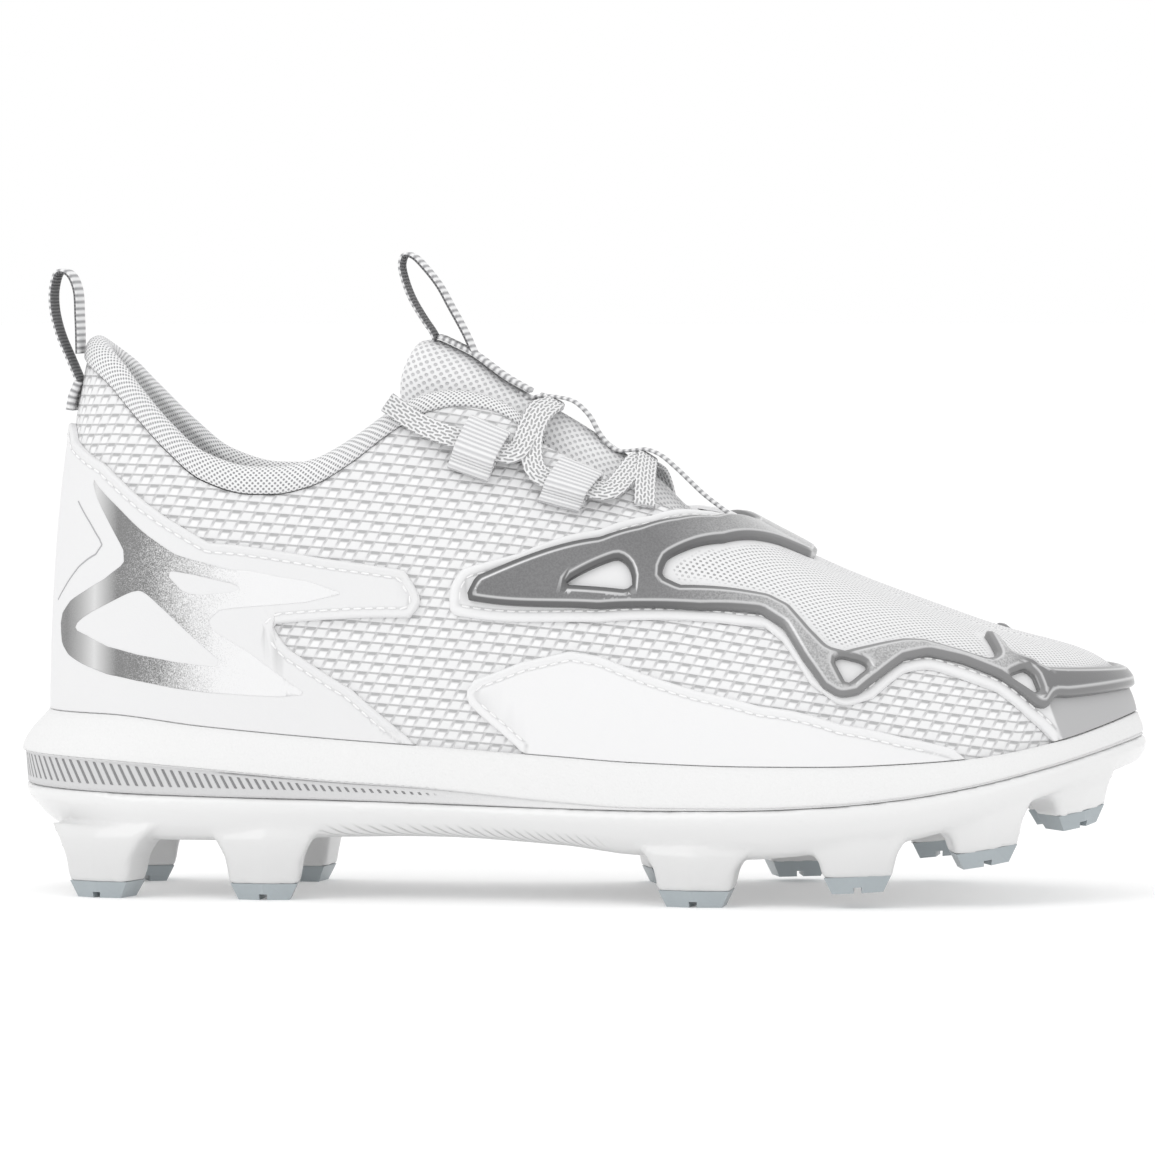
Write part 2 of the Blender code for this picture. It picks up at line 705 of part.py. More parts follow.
def station_indices():
    """Fractional indices into the lateral branch: even steps, closer together round the heel and toe."""
    line = LATERAL
    steps = np.diff(line, axis=0)
    lengths = np.linalg.norm(steps, axis=1)
    heading = np.unwrap(np.arctan2(steps[:, 1], steps[:, 0]))
    turning = np.abs(np.gradient(heading))
    weight = lengths / lengths.sum() + 0.55 * turning / turning.sum()
    total = np.concatenate([[0], np.cumsum(weight)])
    return np.interp(np.linspace(0, total[-1], STATIONS + 1), total, np.arange(len(line)))


def paired_stations():
    """Lateral and medial branch indices with the same place along the shoe."""
    near = station_indices()
    x = spot_on(LATERAL, near)[:, 0]
    throat_x = (THROAT_END - 0.5) * LENGTH
    x[np.abs(x - throat_x).argmin()] = throat_x
    near = np.interp(x, LATERAL[:, 0], np.arange(len(LATERAL)))
    far = np.interp(x, MEDIAL[:, 0], np.arange(len(MEDIAL)))
    return near, far


NEAR, FAR = paired_stations()


def ring_columns():
    """Columns round the shoe, from the toe along the lateral side to the heel and back: (index, side)."""
    lateral = [(p, -1) for p in NEAR[::-1]]
    medial = [(p, 1) for p in FAR[1:-1]]
    return lateral + medial


def build_upper(material):
    """One hollow shell: the last's surface up to the opening's edge, and its offset inwards."""
    columns = ring_columns()
    outer, inner = [], []
    for index, side in columns:
        feather = spot_on(branch(side), index)
        edge = float(eased(OPENING, feather[0] / LENGTH + 0.5))
        shares = np.linspace(0, edge, ROWS + 1)
        feathers = np.repeat(feather[None], ROWS + 1, axis=0)
        points = last_point(feathers, shares)
        normals = last_normal(np.full(ROWS + 1, index), side, shares)
        outer.append(points)
        inner.append(points - normals * WALL)
    outer, inner = np.array(outer), np.array(inner)
    count = len(columns)
    points = np.concatenate([block.transpose(1, 0, 2).reshape(-1, 3) for block in (outer, inner)])
    shift = count * (ROWS + 1)
    faces = grid_faces(ROWS + 1, count, 0, True)
    faces += grid_faces(ROWS + 1, count, shift, True)
    last = ROWS * count
    open_edge = [eased(OPENING, spot_on(branch(s), i)[0] / LENGTH + 0.5) < 0.9999 for i, s in columns]
    for c in range(count):
        d = (c + 1) % count
        faces.append((c, d, shift + d, shift + c))
        if open_edge[c] or open_edge[d]:
            faces.append((last + c, last + d, shift + last + d, shift + last + c))
    return mesh_object("upper", points, faces, material)


def ring_points():
    return np.array([spot_on(branch(side), index) for index, side in ring_columns()])


def offset_loop(distance):
    """The feather line moved outwards, by one distance or by one for each column."""
    ring = ring_points()
    tangent = np.roll(ring, -1, axis=0) - np.roll(ring, 1, axis=0)
    normal = np.stack([-tangent[:, 1], tangent[:, 0]], -1)
    normal /= np.linalg.norm(normal, axis=1, keepdims=True)
    if ((ring - ring.mean(0)) * normal).sum() < 0:
        normal = -normal
    return ring + normal * np.broadcast_to(distance, len(ring))[:, None]


def level_ring(distance, height):
    """A ring out from the feather line, each point at the height for its own place along the shoe."""
    ring = offset_loop(distance)
    return np.column_stack([ring, height(ring[:, 0])])


def cross_faces(count, start):
    """Quads that span from the lateral to the medial half of a ring of columns."""
    near = [start + STATIONS - j for j in range(STATIONS + 1)]
    far = [start + (STATIONS + j) % count for j in range(STATIONS + 1)]
    return [(near[j], near[j + 1], far[j + 1], far[j]) for j in range(STATIONS)]


def ring_solid(name, rings, material):
    """A closed solid from rings stacked in order, closed across its first and last ring."""
    count = len(rings[0])
    points = np.concatenate(rings)
    faces = grid_faces(len(rings), count, 0, True)
    faces += cross_faces(count, 0)
    faces += cross_faces(count, (len(rings) - 1) * count)
    return mesh_object(name, points, faces, material)


def sole_height(first, second=None, part=0.0, rise=0.0):
    """A function of the place along the shoe: a level, or a mix of two, with a rise in metres."""
    def height(x):
        level = sole_level(x, first)
        if second is not None:
            level = level * (1 - part) + sole_level(x, second) * part
        return level + rise
    return height


def cup_floor():
    """How far out from the feather line the floor of the plate's cup starts."""
    x = ring_points()[:, 0]
    return sole_flare(x, GROOVE_FLARE) - PLATE_WALL - CUP_SLOPE


def build_midsole(material):
    x = ring_points()[:, 0]
    flare, tuck_in = sole_flare(x, FLARE), sole_flare(x, GROOVE_FLARE)
    wall = tuck_in - PLATE_WALL - GAP
    above = [
        level_ring(SKIN_GAP, sole_height(TOP, rise=-TUCK - GAP)),
        level_ring(SKIN_GAP, sole_height(TOP, rise=-RIM_ROUND)),
        level_ring(SKIN_GAP + RIM, sole_height(TOP)),
        level_ring(flare * SHOULDER_OUT, sole_height(TOP, BAND, SHOULDER_DOWN)),
        level_ring(flare, sole_height(BAND)),
        level_ring(flare - BAND_STEP, sole_height(BAND, rise=-GAP)),
    ]
    below = [
        level_ring(tuck_in, sole_height(GROOVE)),
        level_ring(wall, sole_height(GROOVE)),
        level_ring(cup_floor(), sole_height(BOTTOM, rise=PLATE_FLOOR + 2 * GAP)),
    ]
    count = len(x)
    places, depths = rib_places(above[-1])
    outward = offset_loop(0.001) - offset_loop(0.0)
    outward = np.column_stack([outward / 0.001, 0 * x])
    ribs = []
    for part in RIB_SPAN:
        line = below[0] * (1 - part) + above[-1] * part
        ribs.append(around(line, places) - around(outward, places) * depths[:, None])
    points = np.concatenate([*above, ribs[1], ribs[0], *below])
    top, bottom = count * len(above), count * len(above) + 2 * len(places)
    whole = np.arange(count, dtype=float)
    faces = grid_faces(len(above), count, 0, True)
    faces += stitched(whole, top - count, places, top, count)
    faces += grid_faces(2, len(places), top, True)
    faces += stitched(places, top + len(places), whole, bottom, count)
    faces += grid_faces(len(below), count, bottom, True)
    faces += cross_faces(count, 0) + cross_faces(count, bottom + 2 * count)
    return mesh_object("midsole", points, faces, material)


def around(ring, places):
    """Points of a closed ring at fractional indices."""
    closed = np.vstack([ring, ring[:1]])
    return np.stack([np.interp(places, np.arange(len(closed)), closed[:, k]) for k in range(3)], -1)


def rib_places(ring):
    """Indices round the ring for the ribbed band's corners, and how deep each lies: three to a groove."""
    closed = np.vstack([ring, ring[:1]])
    run = np.concatenate([[0], np.cumsum(np.linalg.norm(np.diff(closed, axis=0), axis=1))])
    behind = np.nonzero(ring[:, 0] < (RIB_END - 0.5) * LENGTH)[0]
    first, last = run[behind[0]], run[behind[-1]]
    count = round((last - first) / RIB_PITCH)
    centres = first + (np.arange(count) + 0.5) * (last - first) / count
    half = RIB_PITCH * RIB_SHARE / 2
    runs = np.concatenate([centres - half, centres, centres + half])
    depths = np.concatenate([0 * centres, 0 * centres + RIB_DEPTH, 0 * centres])
    order = np.argsort(runs)
    places = np.interp(runs[order], run, np.arange(len(closed)))
    plain = np.concatenate([np.arange(behind[0] + 1), np.arange(behind[-1], len(ring))]).astype(float)
    merged = np.concatenate([places, plain])
    deep = np.concatenate([depths[order], 0 * plain])
    order = np.argsort(merged)
    return merged[order], deep[order]


def stitched(upper, upper_start, lower, lower_start, around_count):
    """Triangles between two closed loops whose points have fractional indices round the same ring."""
    faces = []
    i = j = 0
    while i < len(upper) or j < len(lower):
        next_upper = upper[i + 1] if i + 1 < len(upper) else around_count + upper[0]
        next_lower = lower[j + 1] if j + 1 < len(lower) else around_count + lower[0]
        a, b = upper_start + i % len(upper), lower_start + j % len(lower)
        if i < len(upper) and (j >= len(lower) or next_upper <= next_lower):
            faces.append((a, upper_start + (i + 1) % len(upper), b))
            i += 1
        else:
            faces.append((a, lower_start + (j + 1) % len(lower), b))
            j += 1
    return faces


def cut(target, cutter, operation="DIFFERENCE"):
    """A Boolean that stays on its object, with its cutter kept out of the render."""
    step = target.modifiers.new(cutter.name, "BOOLEAN")
    step.operation = operation
    step.solver = "EXACT"
    step.object = cutter
    cutter.hide_render = True
    cutter.display_type = "WIRE"


def build_insole(material):
    rings = [
        level_ring(-WALL - 2 * SKIN_GAP, sole_height(TOP, rise=GAP - TUCK)),
        level_ring(-WALL - 2 * SKIN_GAP, sole_height(TOP, rise=INSOLE_SIDE * INSOLE_WALL - TUCK)),
        level_ring(-WALL - 5 * SKIN_GAP, sole_height(TOP, rise=INSOLE_WALL - TUCK)),
    ]
    return ring_solid("insole", rings, material)


def build_plate(material):
    x = ring_points()[:, 0]
    reach, edge = sole_flare(x, GROOVE_FLARE), sole_flare(x, EDGE_INSET)
    rings = [
        level_ring(cup_floor(), sole_height(BOTTOM, rise=PLATE_FLOOR)),
        level_ring(reach - PLATE_WALL, sole_height(GROOVE, rise=-GAP)),
        level_ring(reach, sole_height(GROOVE, rise=-GAP)),
    ]
    for down, bulge, inset in PLATE_SIDE:
        out = reach + PLATE_BULGE * bulge - edge * inset
        rings.append(level_ring(out, sole_height(GROOVE, BOTTOM, down)))
    plate = ring_solid("outsole_plate", rings, material)
    for stud in STUDS:
        cut(plate, stud_body(stud, material), "UNION")
    return plate


def stud_frame(stud):
    """Centre of a stud's tip face, its heading along the sole's edge, and its tilt."""
    _, along, across, _, _, height, tilt, side = stud
    centre = np.array([(along - 0.5) * LENGTH, side * across * BALL_WIDTH])
    ahead, behind = feather_at(np.array([centre[0] + 0.008, centre[0] - 0.008]), side)
    heading = math.atan2(ahead[1] - behind[1], ahead[0] - behind[0])
    return centre, height * SOLE_HEIGHT, heading * STUD_TURN, math.radians(tilt), side


def stud_ring(stud, grow, rise, lean=0.0, root_share=0.0):
    """Six corners of a stud's section, rise above the tip's face: it grows along the sole and inwards.

    The outer face has an upright ridge and leans outwards by lean. The root share, from 0 to 1, is how far
    each corner has come up from that height to its root in the plate."""
    length, depth = stud[3] / 2 + grow, stud[4] / 2
    centre, height, heading, tilt, side = stud_frame(stud)
    outer, inner = depth + lean, -depth - grow * STUD_INWARD
    outline = [
        (-length, outer), (0, outer + STUD_RIDGE), (length, outer),
        (length * STUD_TAPER, inner), (0, inner), (-length * STUD_TAPER, inner),
    ]
    made = []
    for u, v in outline:
        v = v * side
        x = centre[0] + u * math.cos(heading) - v * math.sin(heading)
        y = centre[1] + u * math.sin(heading) + v * math.cos(heading)
        z = height + rise + u * math.tan(tilt)
        root = float(sole_level(x, BOTTOM)) + STUD_ROOT
        made.append((x, y, z + (root - z) * root_share))
    return made


def stud_body(stud, material):
    """The white root of a stud, flaring out into the plate."""
    rings = [stud_ring(stud, grow, TIP_HEIGHT + GAP, lean, share) for share, grow, lean in STUD_FLARE]
    points = np.concatenate(rings)
    faces = grid_faces(len(rings), 6, 0, True)
    faces += [tuple(range(6)), tuple(range(6 * (len(rings) - 1), 6 * len(rings)))]
    return mesh_object("root_" + stud[0], points, faces, material)


def build_tip(stud, material):
    """The grey wearing tip, tapered to its face, with a notch cut across the middle of it."""
    low = np.array(stud_ring(stud, 0.0, 0.0))
    high = np.array(stud_ring(stud, TIP_TAPER, TIP_HEIGHT, TIP_LEAN))
    half = TIP_NOTCH_WIDTH / stud[3]
    slot = TIP_NOTCH_DEPTH / TIP_HEIGHT
    outer, inner = (0, 1, 2), (5, 4, 3)

    def across(row, ring, part):
        """Point of a face at part -1 (rear) to 1 (front)."""
        a, b, c = ring[row[0]], ring[row[1]], ring[row[2]]
        return b + (a - b) * -part if part < 0 else b + (c - b) * part

    points, faces = [], []
    for row in (outer, inner):
        for part in (-1, -half, 0, half, 1):
            points.append(across(row, low, part))
            points.append(across(row, high, part))
        for part in (-half, 0, half):
            foot, head = across(row, low, part), across(row, high, part)
            points.append(foot + (head - foot) * slot)
    # Each face: 0-9 pairs of low and high points from rear to front, 10-12 the notch's roof
    for start in (0, 13):
        rear = [start + k for k in (0, 2, 10, 11, 5, 3, 1)]
        front = [start + k for k in (11, 12, 6, 8, 9, 7, 5)]
        faces += [rear, front]
    rim = [0, 2, 10, 11, 12, 6, 8, 9, 7, 5, 3, 1]
    for a, b in zip(rim, rim[1:] + rim[:1]):
        faces.append((a, b, 13 + b, 13 + a))
    return mesh_object("tip_" + stud[0], points, faces, material)


def patch(name, outline, holes, inner, outer, material, step=PATCH_STEP, radius=CORNER):
    """A solid cut between two offsets of the last, from an outline on the flattened pattern."""
    flat, faces = triangulated(rounded(outline, radius), [rounded(h, radius * 0.5) for h in holes], step)
    low, _ = placed(flat, inner)
    high, _ = placed(flat, outer)
    count = len(flat)
    edges = {}
    for a, b, c in faces:
        for edge in ((a, b), (b, c), (c, a)):
            edges[edge] = edges.get((edge[1], edge[0]), 0)
    known = set(edges)
    border = [e for e in known if (e[1], e[0]) not in known]
    solid = [tuple(count + i for i in f) for f in faces] + [tuple(reversed(f)) for f in faces]
    solid += [(a, b, count + b, count + a) for a, b in border]
    return mesh_object(name, np.concatenate([low, high]), solid, material)


def both_sides(half):
    """A half outline from crest to rim on the lateral side, and back along the medial side."""
    lateral = on_pattern(half, -1)
    medial = on_pattern(half, 1)
    return lateral, medial[::-1]


def toe_arc(share):
    """Points round the front of the toe on the pattern, from the lateral to the medial side."""
    made = []
    for side, indices in ((-1, NEAR), (1, FAR[::-1])):
        x = spot_on(branch(side), indices)[:, 0]
        front = indices[(x > (TOE_ARC_START - 0.5) * LENGTH) & (indices < len(branch(side)) - 1)]
        made += [tuple(p) for p in pattern_point(front, side, np.full(len(front), share))]
        if side < 0:
            made += [tuple(p) for p in pattern_point(indices[-1:], side, np.full(1, share))]
    return made


def build_counter(material):
    lateral, medial = both_sides(COUNTER)
    top, *foot = [tuple(p) for p in on_pattern([COUNTER_TOP, *COUNTER_FOOT], -1)]
    outline = lateral[::-1] + [top] + medial[::-1] + foot
    return patch("heel_counter", outline, [], OVERLAY_GAP, OVERLAY_GAP + FILM, material, step=COUNTER_STEP)


def build_side_panel(side, material):
    name = "side_panel_lateral" if side < 0 else "side_panel_medial"
    return patch(name, on_pattern(SIDE_PANEL, side), [], OVERLAY_GAP, OVERLAY_GAP + FILM, material)


def build_vamp_overlay(material):
    lateral, medial = both_sides(VAMP_SIDE)
    outline = lateral + toe_arc(0.0) + medial
    return patch("vamp_overlay", outline, [], OVERLAY_GAP, OVERLAY_GAP + FILM, material)


def build_frame(material):
    """The silver moulded frame: a wave along each side, joined by the toe bumper."""
    lateral, medial = both_sides(FRAME_OUTER)
    inner_lateral, inner_medial = both_sides(FRAME_INNER)
    outline = lateral + toe_arc(BUMPER_FOOT) + medial
    field = inner_lateral[::-1] + toe_arc(BUMPER_TOP) + inner_medial[::-1]
    holes = [field]
    for window in (REAR_WINDOW, MIDDLE_WINDOW, FRONT_WINDOW):
        holes += [on_pattern(window, -1), on_pattern(window, 1)]
    base = 2 * OVERLAY_GAP + FILM
    return patch("moulded_frame", outline, holes, base, base + FRAME_WALL, material, radius=FRAME_CORNER)


def collar_columns():
    """Columns of the collar, from the lateral end round the heel to the medial end: (index, side)."""
    end = (COLLAR_END - 0.5) * LENGTH
    near = [p for p in NEAR if spot_on(LATERAL, p)[0] < end - COLLAR_END_STEP]
    far = [p for p in FAR if spot_on(MEDIAL, p)[0] < end - COLLAR_END_STEP]
    last = [(np.interp(end, branch(side)[:, 0], np.arange(len(branch(side)))), side) for side in (-1, 1)]
    return [last[0]] + [(p, -1) for p in near[::-1]] + [(p, 1) for p in far[1:]] + [last[1]]


def on_upper_edge(index, side, way_up, way_out):
    """A point by the opening's edge: metres up along the last and metres out from it."""
    feather = spot_on(branch(side), index)
    edge = float(eased(OPENING, feather[0] / LENGTH + 0.5))
    step = 0.01
    rise = last_point(feather, np.array(edge)) - last_point(feather, np.array(edge - step))
    rate = np.linalg.norm(rise) / step
    share = np.array([min(edge + way_up / rate, 0.999)])
    return last_point(feather[None], share)[0] + last_normal(np.array([index]), side, share)[0] * way_out


def build_collar(material):
    """The padded roll on the collar's edge, with its lining hanging down inside the wall."""
    rings = []
    for index, side in collar_columns():
        along = spot_on(branch(side), index)[0] / LENGTH + 0.5
        tall, thick = float(eased(COLLAR_TAPER, along)), float(eased(COLLAR_TAPER, along, 2))
        height, pad, drop = COLLAR_ROLL * tall, COLLAR_PAD * thick, COLLAR_DROP * thick
        inner, lining = WALL + SKIN_GAP, LINING * thick
        spots = [(up * height, out * pad) for up, out in COLLAR_SECTION]
        spots += [(up * height, -max(pad * COLLAR_INSIDE, inner + lining)) for up in COLLAR_BACK]
        spots += [(-drop, -inner - lining), (-drop, -inner), (GAP, -inner)]
        rings.append([on_upper_edge(index, side, up, out) for up, out in spots])
    rings = np.array(rings)
    wide = rings.shape[1]
    points = rings.reshape(-1, 3)
    faces = grid_faces(len(rings), wide, 0, True)
    faces += [tuple(range(wide)), tuple(range((len(rings) - 1) * wide, len(rings) * wide))]
    return mesh_object("collar", points, faces, material)


def tongue_point(along, across, depth=0.0):
    """A point of the tongue: along the shoe, across from -1 (lateral) to 1, depth below its outer face."""
    side = 1 if across > 0 else -1
    half, middle, edge = (float(eased(TONGUE, along, k)) for k in (1, 2, 3))
    bend = across**2 / (across**2 + TONGUE_BEND * (1 - across**2))
    place = along - TONGUE_SWEEP * across**2 * (1 if along < 0.5 else max(0.0, 1 - (along - 0.5) / 0.1))
    line = branch(side)
    # The crest over a column lies elsewhere along the shoe, so the column is chosen for its crest
    share = (place - CREST[0][0]) / (CREST[-1][0] - CREST[0][0])
    index = np.interp(HEEL_X + share * (TOE_X - HEEL_X), line[:, 0], np.arange(len(line)))
    up = np.array([1 - abs(across) * half])
    feather = spot_on(line, index)
    point = last_point(feather[None], up)[0]
    normal = last_normal(np.array([index]), side, up)[0]
    return point + normal * (middle + (edge - middle) * bend - depth)


def build_tongue(material):
    first, last = TONGUE[0][0], TONGUE[-1][0]
    alongs = last + (first - last) * np.linspace(0, 1, TONGUE_ROWS)
    acrosses = np.linspace(-1, 1, TONGUE_COLUMNS + 1)
    outer, inner = [], []
    for row in alongs:
        for across in acrosses:
            along = row + TONGUE_ROUND * across**4 * (last - row) / (last - first)
            thin = 1 - TONGUE_THINNING * across**2
            round_end = min(1.0, TONGUE_END_WALL + (row - first) / TONGUE_END)
            outer.append(tongue_point(along, across))
            inner.append(tongue_point(along, across, TONGUE_WALL * thin * round_end))
    wide = len(acrosses)
    shift = len(outer)
    faces = grid_faces(TONGUE_ROWS, wide) + grid_faces(TONGUE_ROWS, wide, shift)
    rim = list(range(wide)) + [r * wide + wide - 1 for r in range(1, TONGUE_ROWS)]
    rim += [shift - 1 - c for c in range(1, wide)] + [r * wide for r in range(TONGUE_ROWS - 2, 0, -1)]
    faces += [(a, b, shift + b, shift + a) for a, b in zip(rim, rim[1:] + rim[:1])]
    return mesh_object("tongue", np.array(outer + inner), faces, material)


def stop_at(stop, side):
    """A lace's stop on the pattern, in metres."""
    along, across = stop
    return np.array(on_pattern([(along + (MEDIAL_SHIFT if side > 0 else 0.0), across)], side)[0])


def lace_route(side):
    """Pattern points and lifts of the strand that starts in the hole on this side."""
    seat = SKIN_GAP + LACE_WALL / 2
    in_keeper = KEEPER_GAP + KEEPER_WALL + LACE_CLEARANCE + LACE_WALL / 2
    half = np.array([KEEPER_WIDTH * 0.5, 0.0])
    start = stop_at(LACE_HOLE, side)
    route = [(start, seat)]
    for keeper in (FRONT_KEEPER, REAR_KEEPER):
        side = -side
        middle = stop_at(keeper, side)
        end = middle + LACE_TURN * half
        for part, lift in LACE_ARCH:
            route.append((start + (end - start) * part, seat + LACE_OVER * lift))
        route += [(middle + half * part, in_keeper) for part in (LACE_STRAIGHT, 0.0, -LACE_STRAIGHT)]
        start = middle - LACE_TURN * half
    tuck = stop_at(LACE_TUCK, side)
    for part, lift in LACE_END:
        route.append((start + (tuck - start) * part, seat + TUCK_OVER * lift))
    return route


def build_lace(side, material):
    """One flat strand laid over the tongue and through the keepers."""
    route = lace_route(side)
    pattern = np.array([p for p, _ in route])
    lifts = np.array([lift for _, lift in route])
    path = np.column_stack([pattern, lifts])
    middles, normals = placed(path[:, :2], path[:, 2])
    ahead = np.gradient(middles, axis=0)
    across = np.cross(normals, ahead)
    across /= np.linalg.norm(across, axis=1, keepdims=True)
    rings = [
        middles + across * u * LACE_WIDTH / 2 + normals * v * LACE_WALL / 2
        for u, v in ((-1, -1), (1, -1), (1, 1), (-1, 1))
    ]
    points = np.stack(rings, 1).reshape(-1, 3)
    faces = grid_faces(len(middles), 4, 0, True)
    faces += [(0, 1, 2, 3), tuple(range(len(points) - 4, len(points)))]
    return mesh_object("laces" if side < 0 else "lace_medial", points, faces, material)


def build_keeper(name, stop, side, material):
    """A webbing loop lying on the upper, folded round the lace at its throat side."""
    middle = stop_at(stop, side)
    low, high = KEEPER_GAP, KEEPER_GAP + 2 * KEEPER_WALL + 2 * LACE_CLEARANCE + LACE_WALL
    reach = LACE_WIDTH / 2 + LACE_CLEARANCE
    fold = reach + KEEPER_WALL
    outer = [
        (-KEEPER_TAIL, low), (fold - KEEPER_ROUND, low), (fold, low + KEEPER_ROUND),
        (fold, high - KEEPER_ROUND), (fold - KEEPER_ROUND, high), (-reach, high),
        (-KEEPER_TAIL, low + KEEPER_END_WALL),
    ]
    inner = [
        (-reach, low + KEEPER_WALL), (reach, low + KEEPER_WALL),
        (reach, high - KEEPER_WALL), (-reach, high - KEEPER_WALL),
    ]
    crest_x, crest_y, _ = crest_of(np.array(middle[0]))
    to_throat = np.array([0.0, crest_y - middle[1]])
    to_throat /= abs(to_throat[1]) * PATTERN_RATE
    sections = []
    for part in (-1, 0, 1):
        shift = part * KEEPER_WIDTH / 2 * np.array([1.0, side * KEEPER_TURN])
        slant = np.array([KEEPER_SLANT, 0.0])
        pattern = np.array([middle + shift + (to_throat + slant) * d for d, _ in outer + inner])
        lifts = np.array([n for _, n in outer + inner])
        sections.append(placed(pattern, lifts)[0])
    points = np.concatenate(sections)
    wide, hole = len(outer), len(inner)
    count = wide + hole
    faces = []
    for k in (0, 1):
        for start, size in ((0, wide), (wide, hole)):
            faces += [
                (k * count + start + i, k * count + start + (i + 1) % size,
                 (k + 1) * count + start + (i + 1) % size, (k + 1) * count + start + i)
                for i in range(size)
            ]
    # Ends: the ring between the outer and the inner outline
    links = [(0, 0), (1, 1), (2, 1), (3, 2), (4, 2), (5, 3), (6, 3)]
    for k in (0, 2):
        for (a, b), (c, d) in zip(links, links[1:] + links[:1]):
            corners = [k * count + a, k * count + c, k * count + wide + d, k * count + wide + b]
            faces.append(tuple(dict.fromkeys(corners)))
    return mesh_object(name, points, faces, material)


def beside(path, distance):
    """The path moved sideways in its plane, to the left of its heading."""
    ahead = np.gradient(path, axis=0)
    left = np.stack([-ahead[:, 1], ahead[:, 0]], -1)
    return path + left / np.linalg.norm(left, axis=1, keepdims=True) * distance


def flat_strap(name, outline, hole, width, material):
    """A side outline with one hole in it, in X and Z, extruded across the shoe's middle."""
    loops = [np.array(outline), np.array(hole)]
    edges = [(i, (i + 1) % len(outline)) for i in range(len(outline))]
    edges += [(len(outline) + i, len(outline) + (i + 1) % len(hole)) for i in range(len(hole))]
    corners = [tuple(p) for p in np.concatenate(loops)]
    flat, _, faces, _, _, _ = delaunay_2d_cdt(corners, edges, [], 0, 1e-9)
    flat = np.array([tuple(p) for p in flat])
    middles = np.array([flat[list(f)].mean(0) for f in faces])
    kept = inside(middles, loops[0]) & ~inside(middles, loops[1])
    faces = [tuple(f) for f, k in zip(faces, kept) if k]
    border = {e for f in faces for e in zip(f, f[1:] + f[:1])}
    border = [e for e in border if (e[1], e[0]) not in border]
    count = len(flat)
    points = [(x, y, z) for y in (-width / 2, width / 2) for x, z in flat]
    solid = [tuple(reversed(f)) for f in faces] + [tuple(count + i for i in f) for f in faces]
    solid += [(a, b, count + b, count + a) for a, b in sorted(border)]
    return mesh_object(name, points, solid, material)


def loop_path(table):
    scaled = [(along * LENGTH, height * COLLAR_HEIGHT) for along, height in table]
    return curve_through(scaled, False, 2)


def build_heel_loop(material):
    """The heel's pull loop, its two ends sewn together down the back."""
    path = loop_path(HEEL_LOOP)
    outer, inner = beside(path, TAPE_WALL / 2), beside(path, -TAPE_WALL / 2)
    back = []
    start = HEEL_LOOP[0][1] - HEEL_TAPE_LAP / 2
    for height in np.linspace(start, HEEL_TAPE_FOOT, 4):
        share = heel_share(height * COLLAR_HEIGHT)
        point = last_point(LATERAL[0], np.array(share))
        normal = last_normal(np.array([0]), -1, np.array([share]))[0]
        back.append([(point + normal * (SKIN_GAP + k))[[0, 2]] for k in (0, DOUBLE_TAPE)])
    back = np.array(back)
    outline = np.concatenate([outer, back[:, 0], back[::-1, 1]])
    return flat_strap("heel_loop", outline, inner[1:-1], HEEL_TAPE_WIDTH, material)


def heel_share(height):
    """How far up the last its back reaches a height, as a share."""
    shares = np.linspace(0, 1, 200)
    heights = last_point(np.repeat(LATERAL[:1], 200, axis=0), shares)[:, 2]
    return float(np.interp(height, heights, shares))


def build_tongue_loop(material):
    """The tongue's pull loop, sewn flat along the tongue's middle."""
    path = loop_path(TONGUE_LOOP)
    outer, inner = beside(path, TAPE_WALL / 2), beside(path, -TAPE_WALL / 2)
    alongs = np.linspace(0.5 + TONGUE_LOOP[-1][0] + TONGUE_TAPE_STEP, TONGUE_TAPE_FRONT, 5)
    base = [tongue_point(a, 0.0, -GAP - TAPE_WALL)[[0, 2]] for a in alongs]
    rear = np.linspace(TONGUE_TAPE_FRONT, 0.5 + TONGUE_LOOP[0][0] - TONGUE_TAPE_STEP, 7)
    base += [tongue_point(a, 0.0, -GAP)[[0, 2]] for a in rear]
    outline = np.concatenate([outer, np.array(base)])
    return flat_strap("tongue_loop", outline, inner[1:-1], TONGUE_TAPE_WIDTH, material)


def centre_on_ground():
    """Moves everything together, so that the middle of the base of its box is the origin."""
    shown = [obj for obj in bpy.data.objects if not obj.hide_render]
    points = np.array([tuple(vertex.co) for obj in shown for vertex in obj.data.vertices])
    low, high = points.min(0), points.max(0)
    for obj in bpy.data.objects:
        obj.location = (-(low[0] + high[0]) / 2, -(low[1] + high[1]) / 2, -low[2])


def main():
    clear_scene()
    white_mesh = finish("white_knit", (0.86, 0.86, 0.87), 0.75)
    foam = finish("white_foam", (0.90, 0.90, 0.90), 0.6)
    tpu = finish("white_tpu", (0.88, 0.88, 0.88), 0.35)
    grey_tip = finish("grey_tip", (0.55, 0.58, 0.60), 0.45)
    film = finish("white_film", (0.86, 0.86, 0.86), 0.4)
    silver = finish("silver_film", (0.55, 0.55, 0.56), 0.3, 0.8)
    lining = finish("white_lining", (0.82, 0.82, 0.83), 0.8)
    webbing = finish("white_webbing", (0.80, 0.80, 0.80), 0.8)
    build_upper(white_mesh)
    build_midsole(foam)
    build_insole(lining)
    build_plate(tpu)
    for stud in STUDS:
        build_tip(stud, grey_tip)
    build_collar(lining)
    build_tongue(white_mesh)
    build_counter(film)
    build_vamp_overlay(film)
    build_frame(silver)
    for side, word in ((-1, "lateral"), (1, "medial")):
        build_side_panel(side, film)
        build_keeper("keeper_front_" + word, FRONT_KEEPER, side, webbing)
        build_keeper("keeper_rear_" + word, REAR_KEEPER, side, webbing)
    cut(build_lace(-1, webbing), build_lace(1, webbing), "UNION")
    build_heel_loop(webbing)
    build_tongue_loop(webbing)
    centre_on_ground()


main()
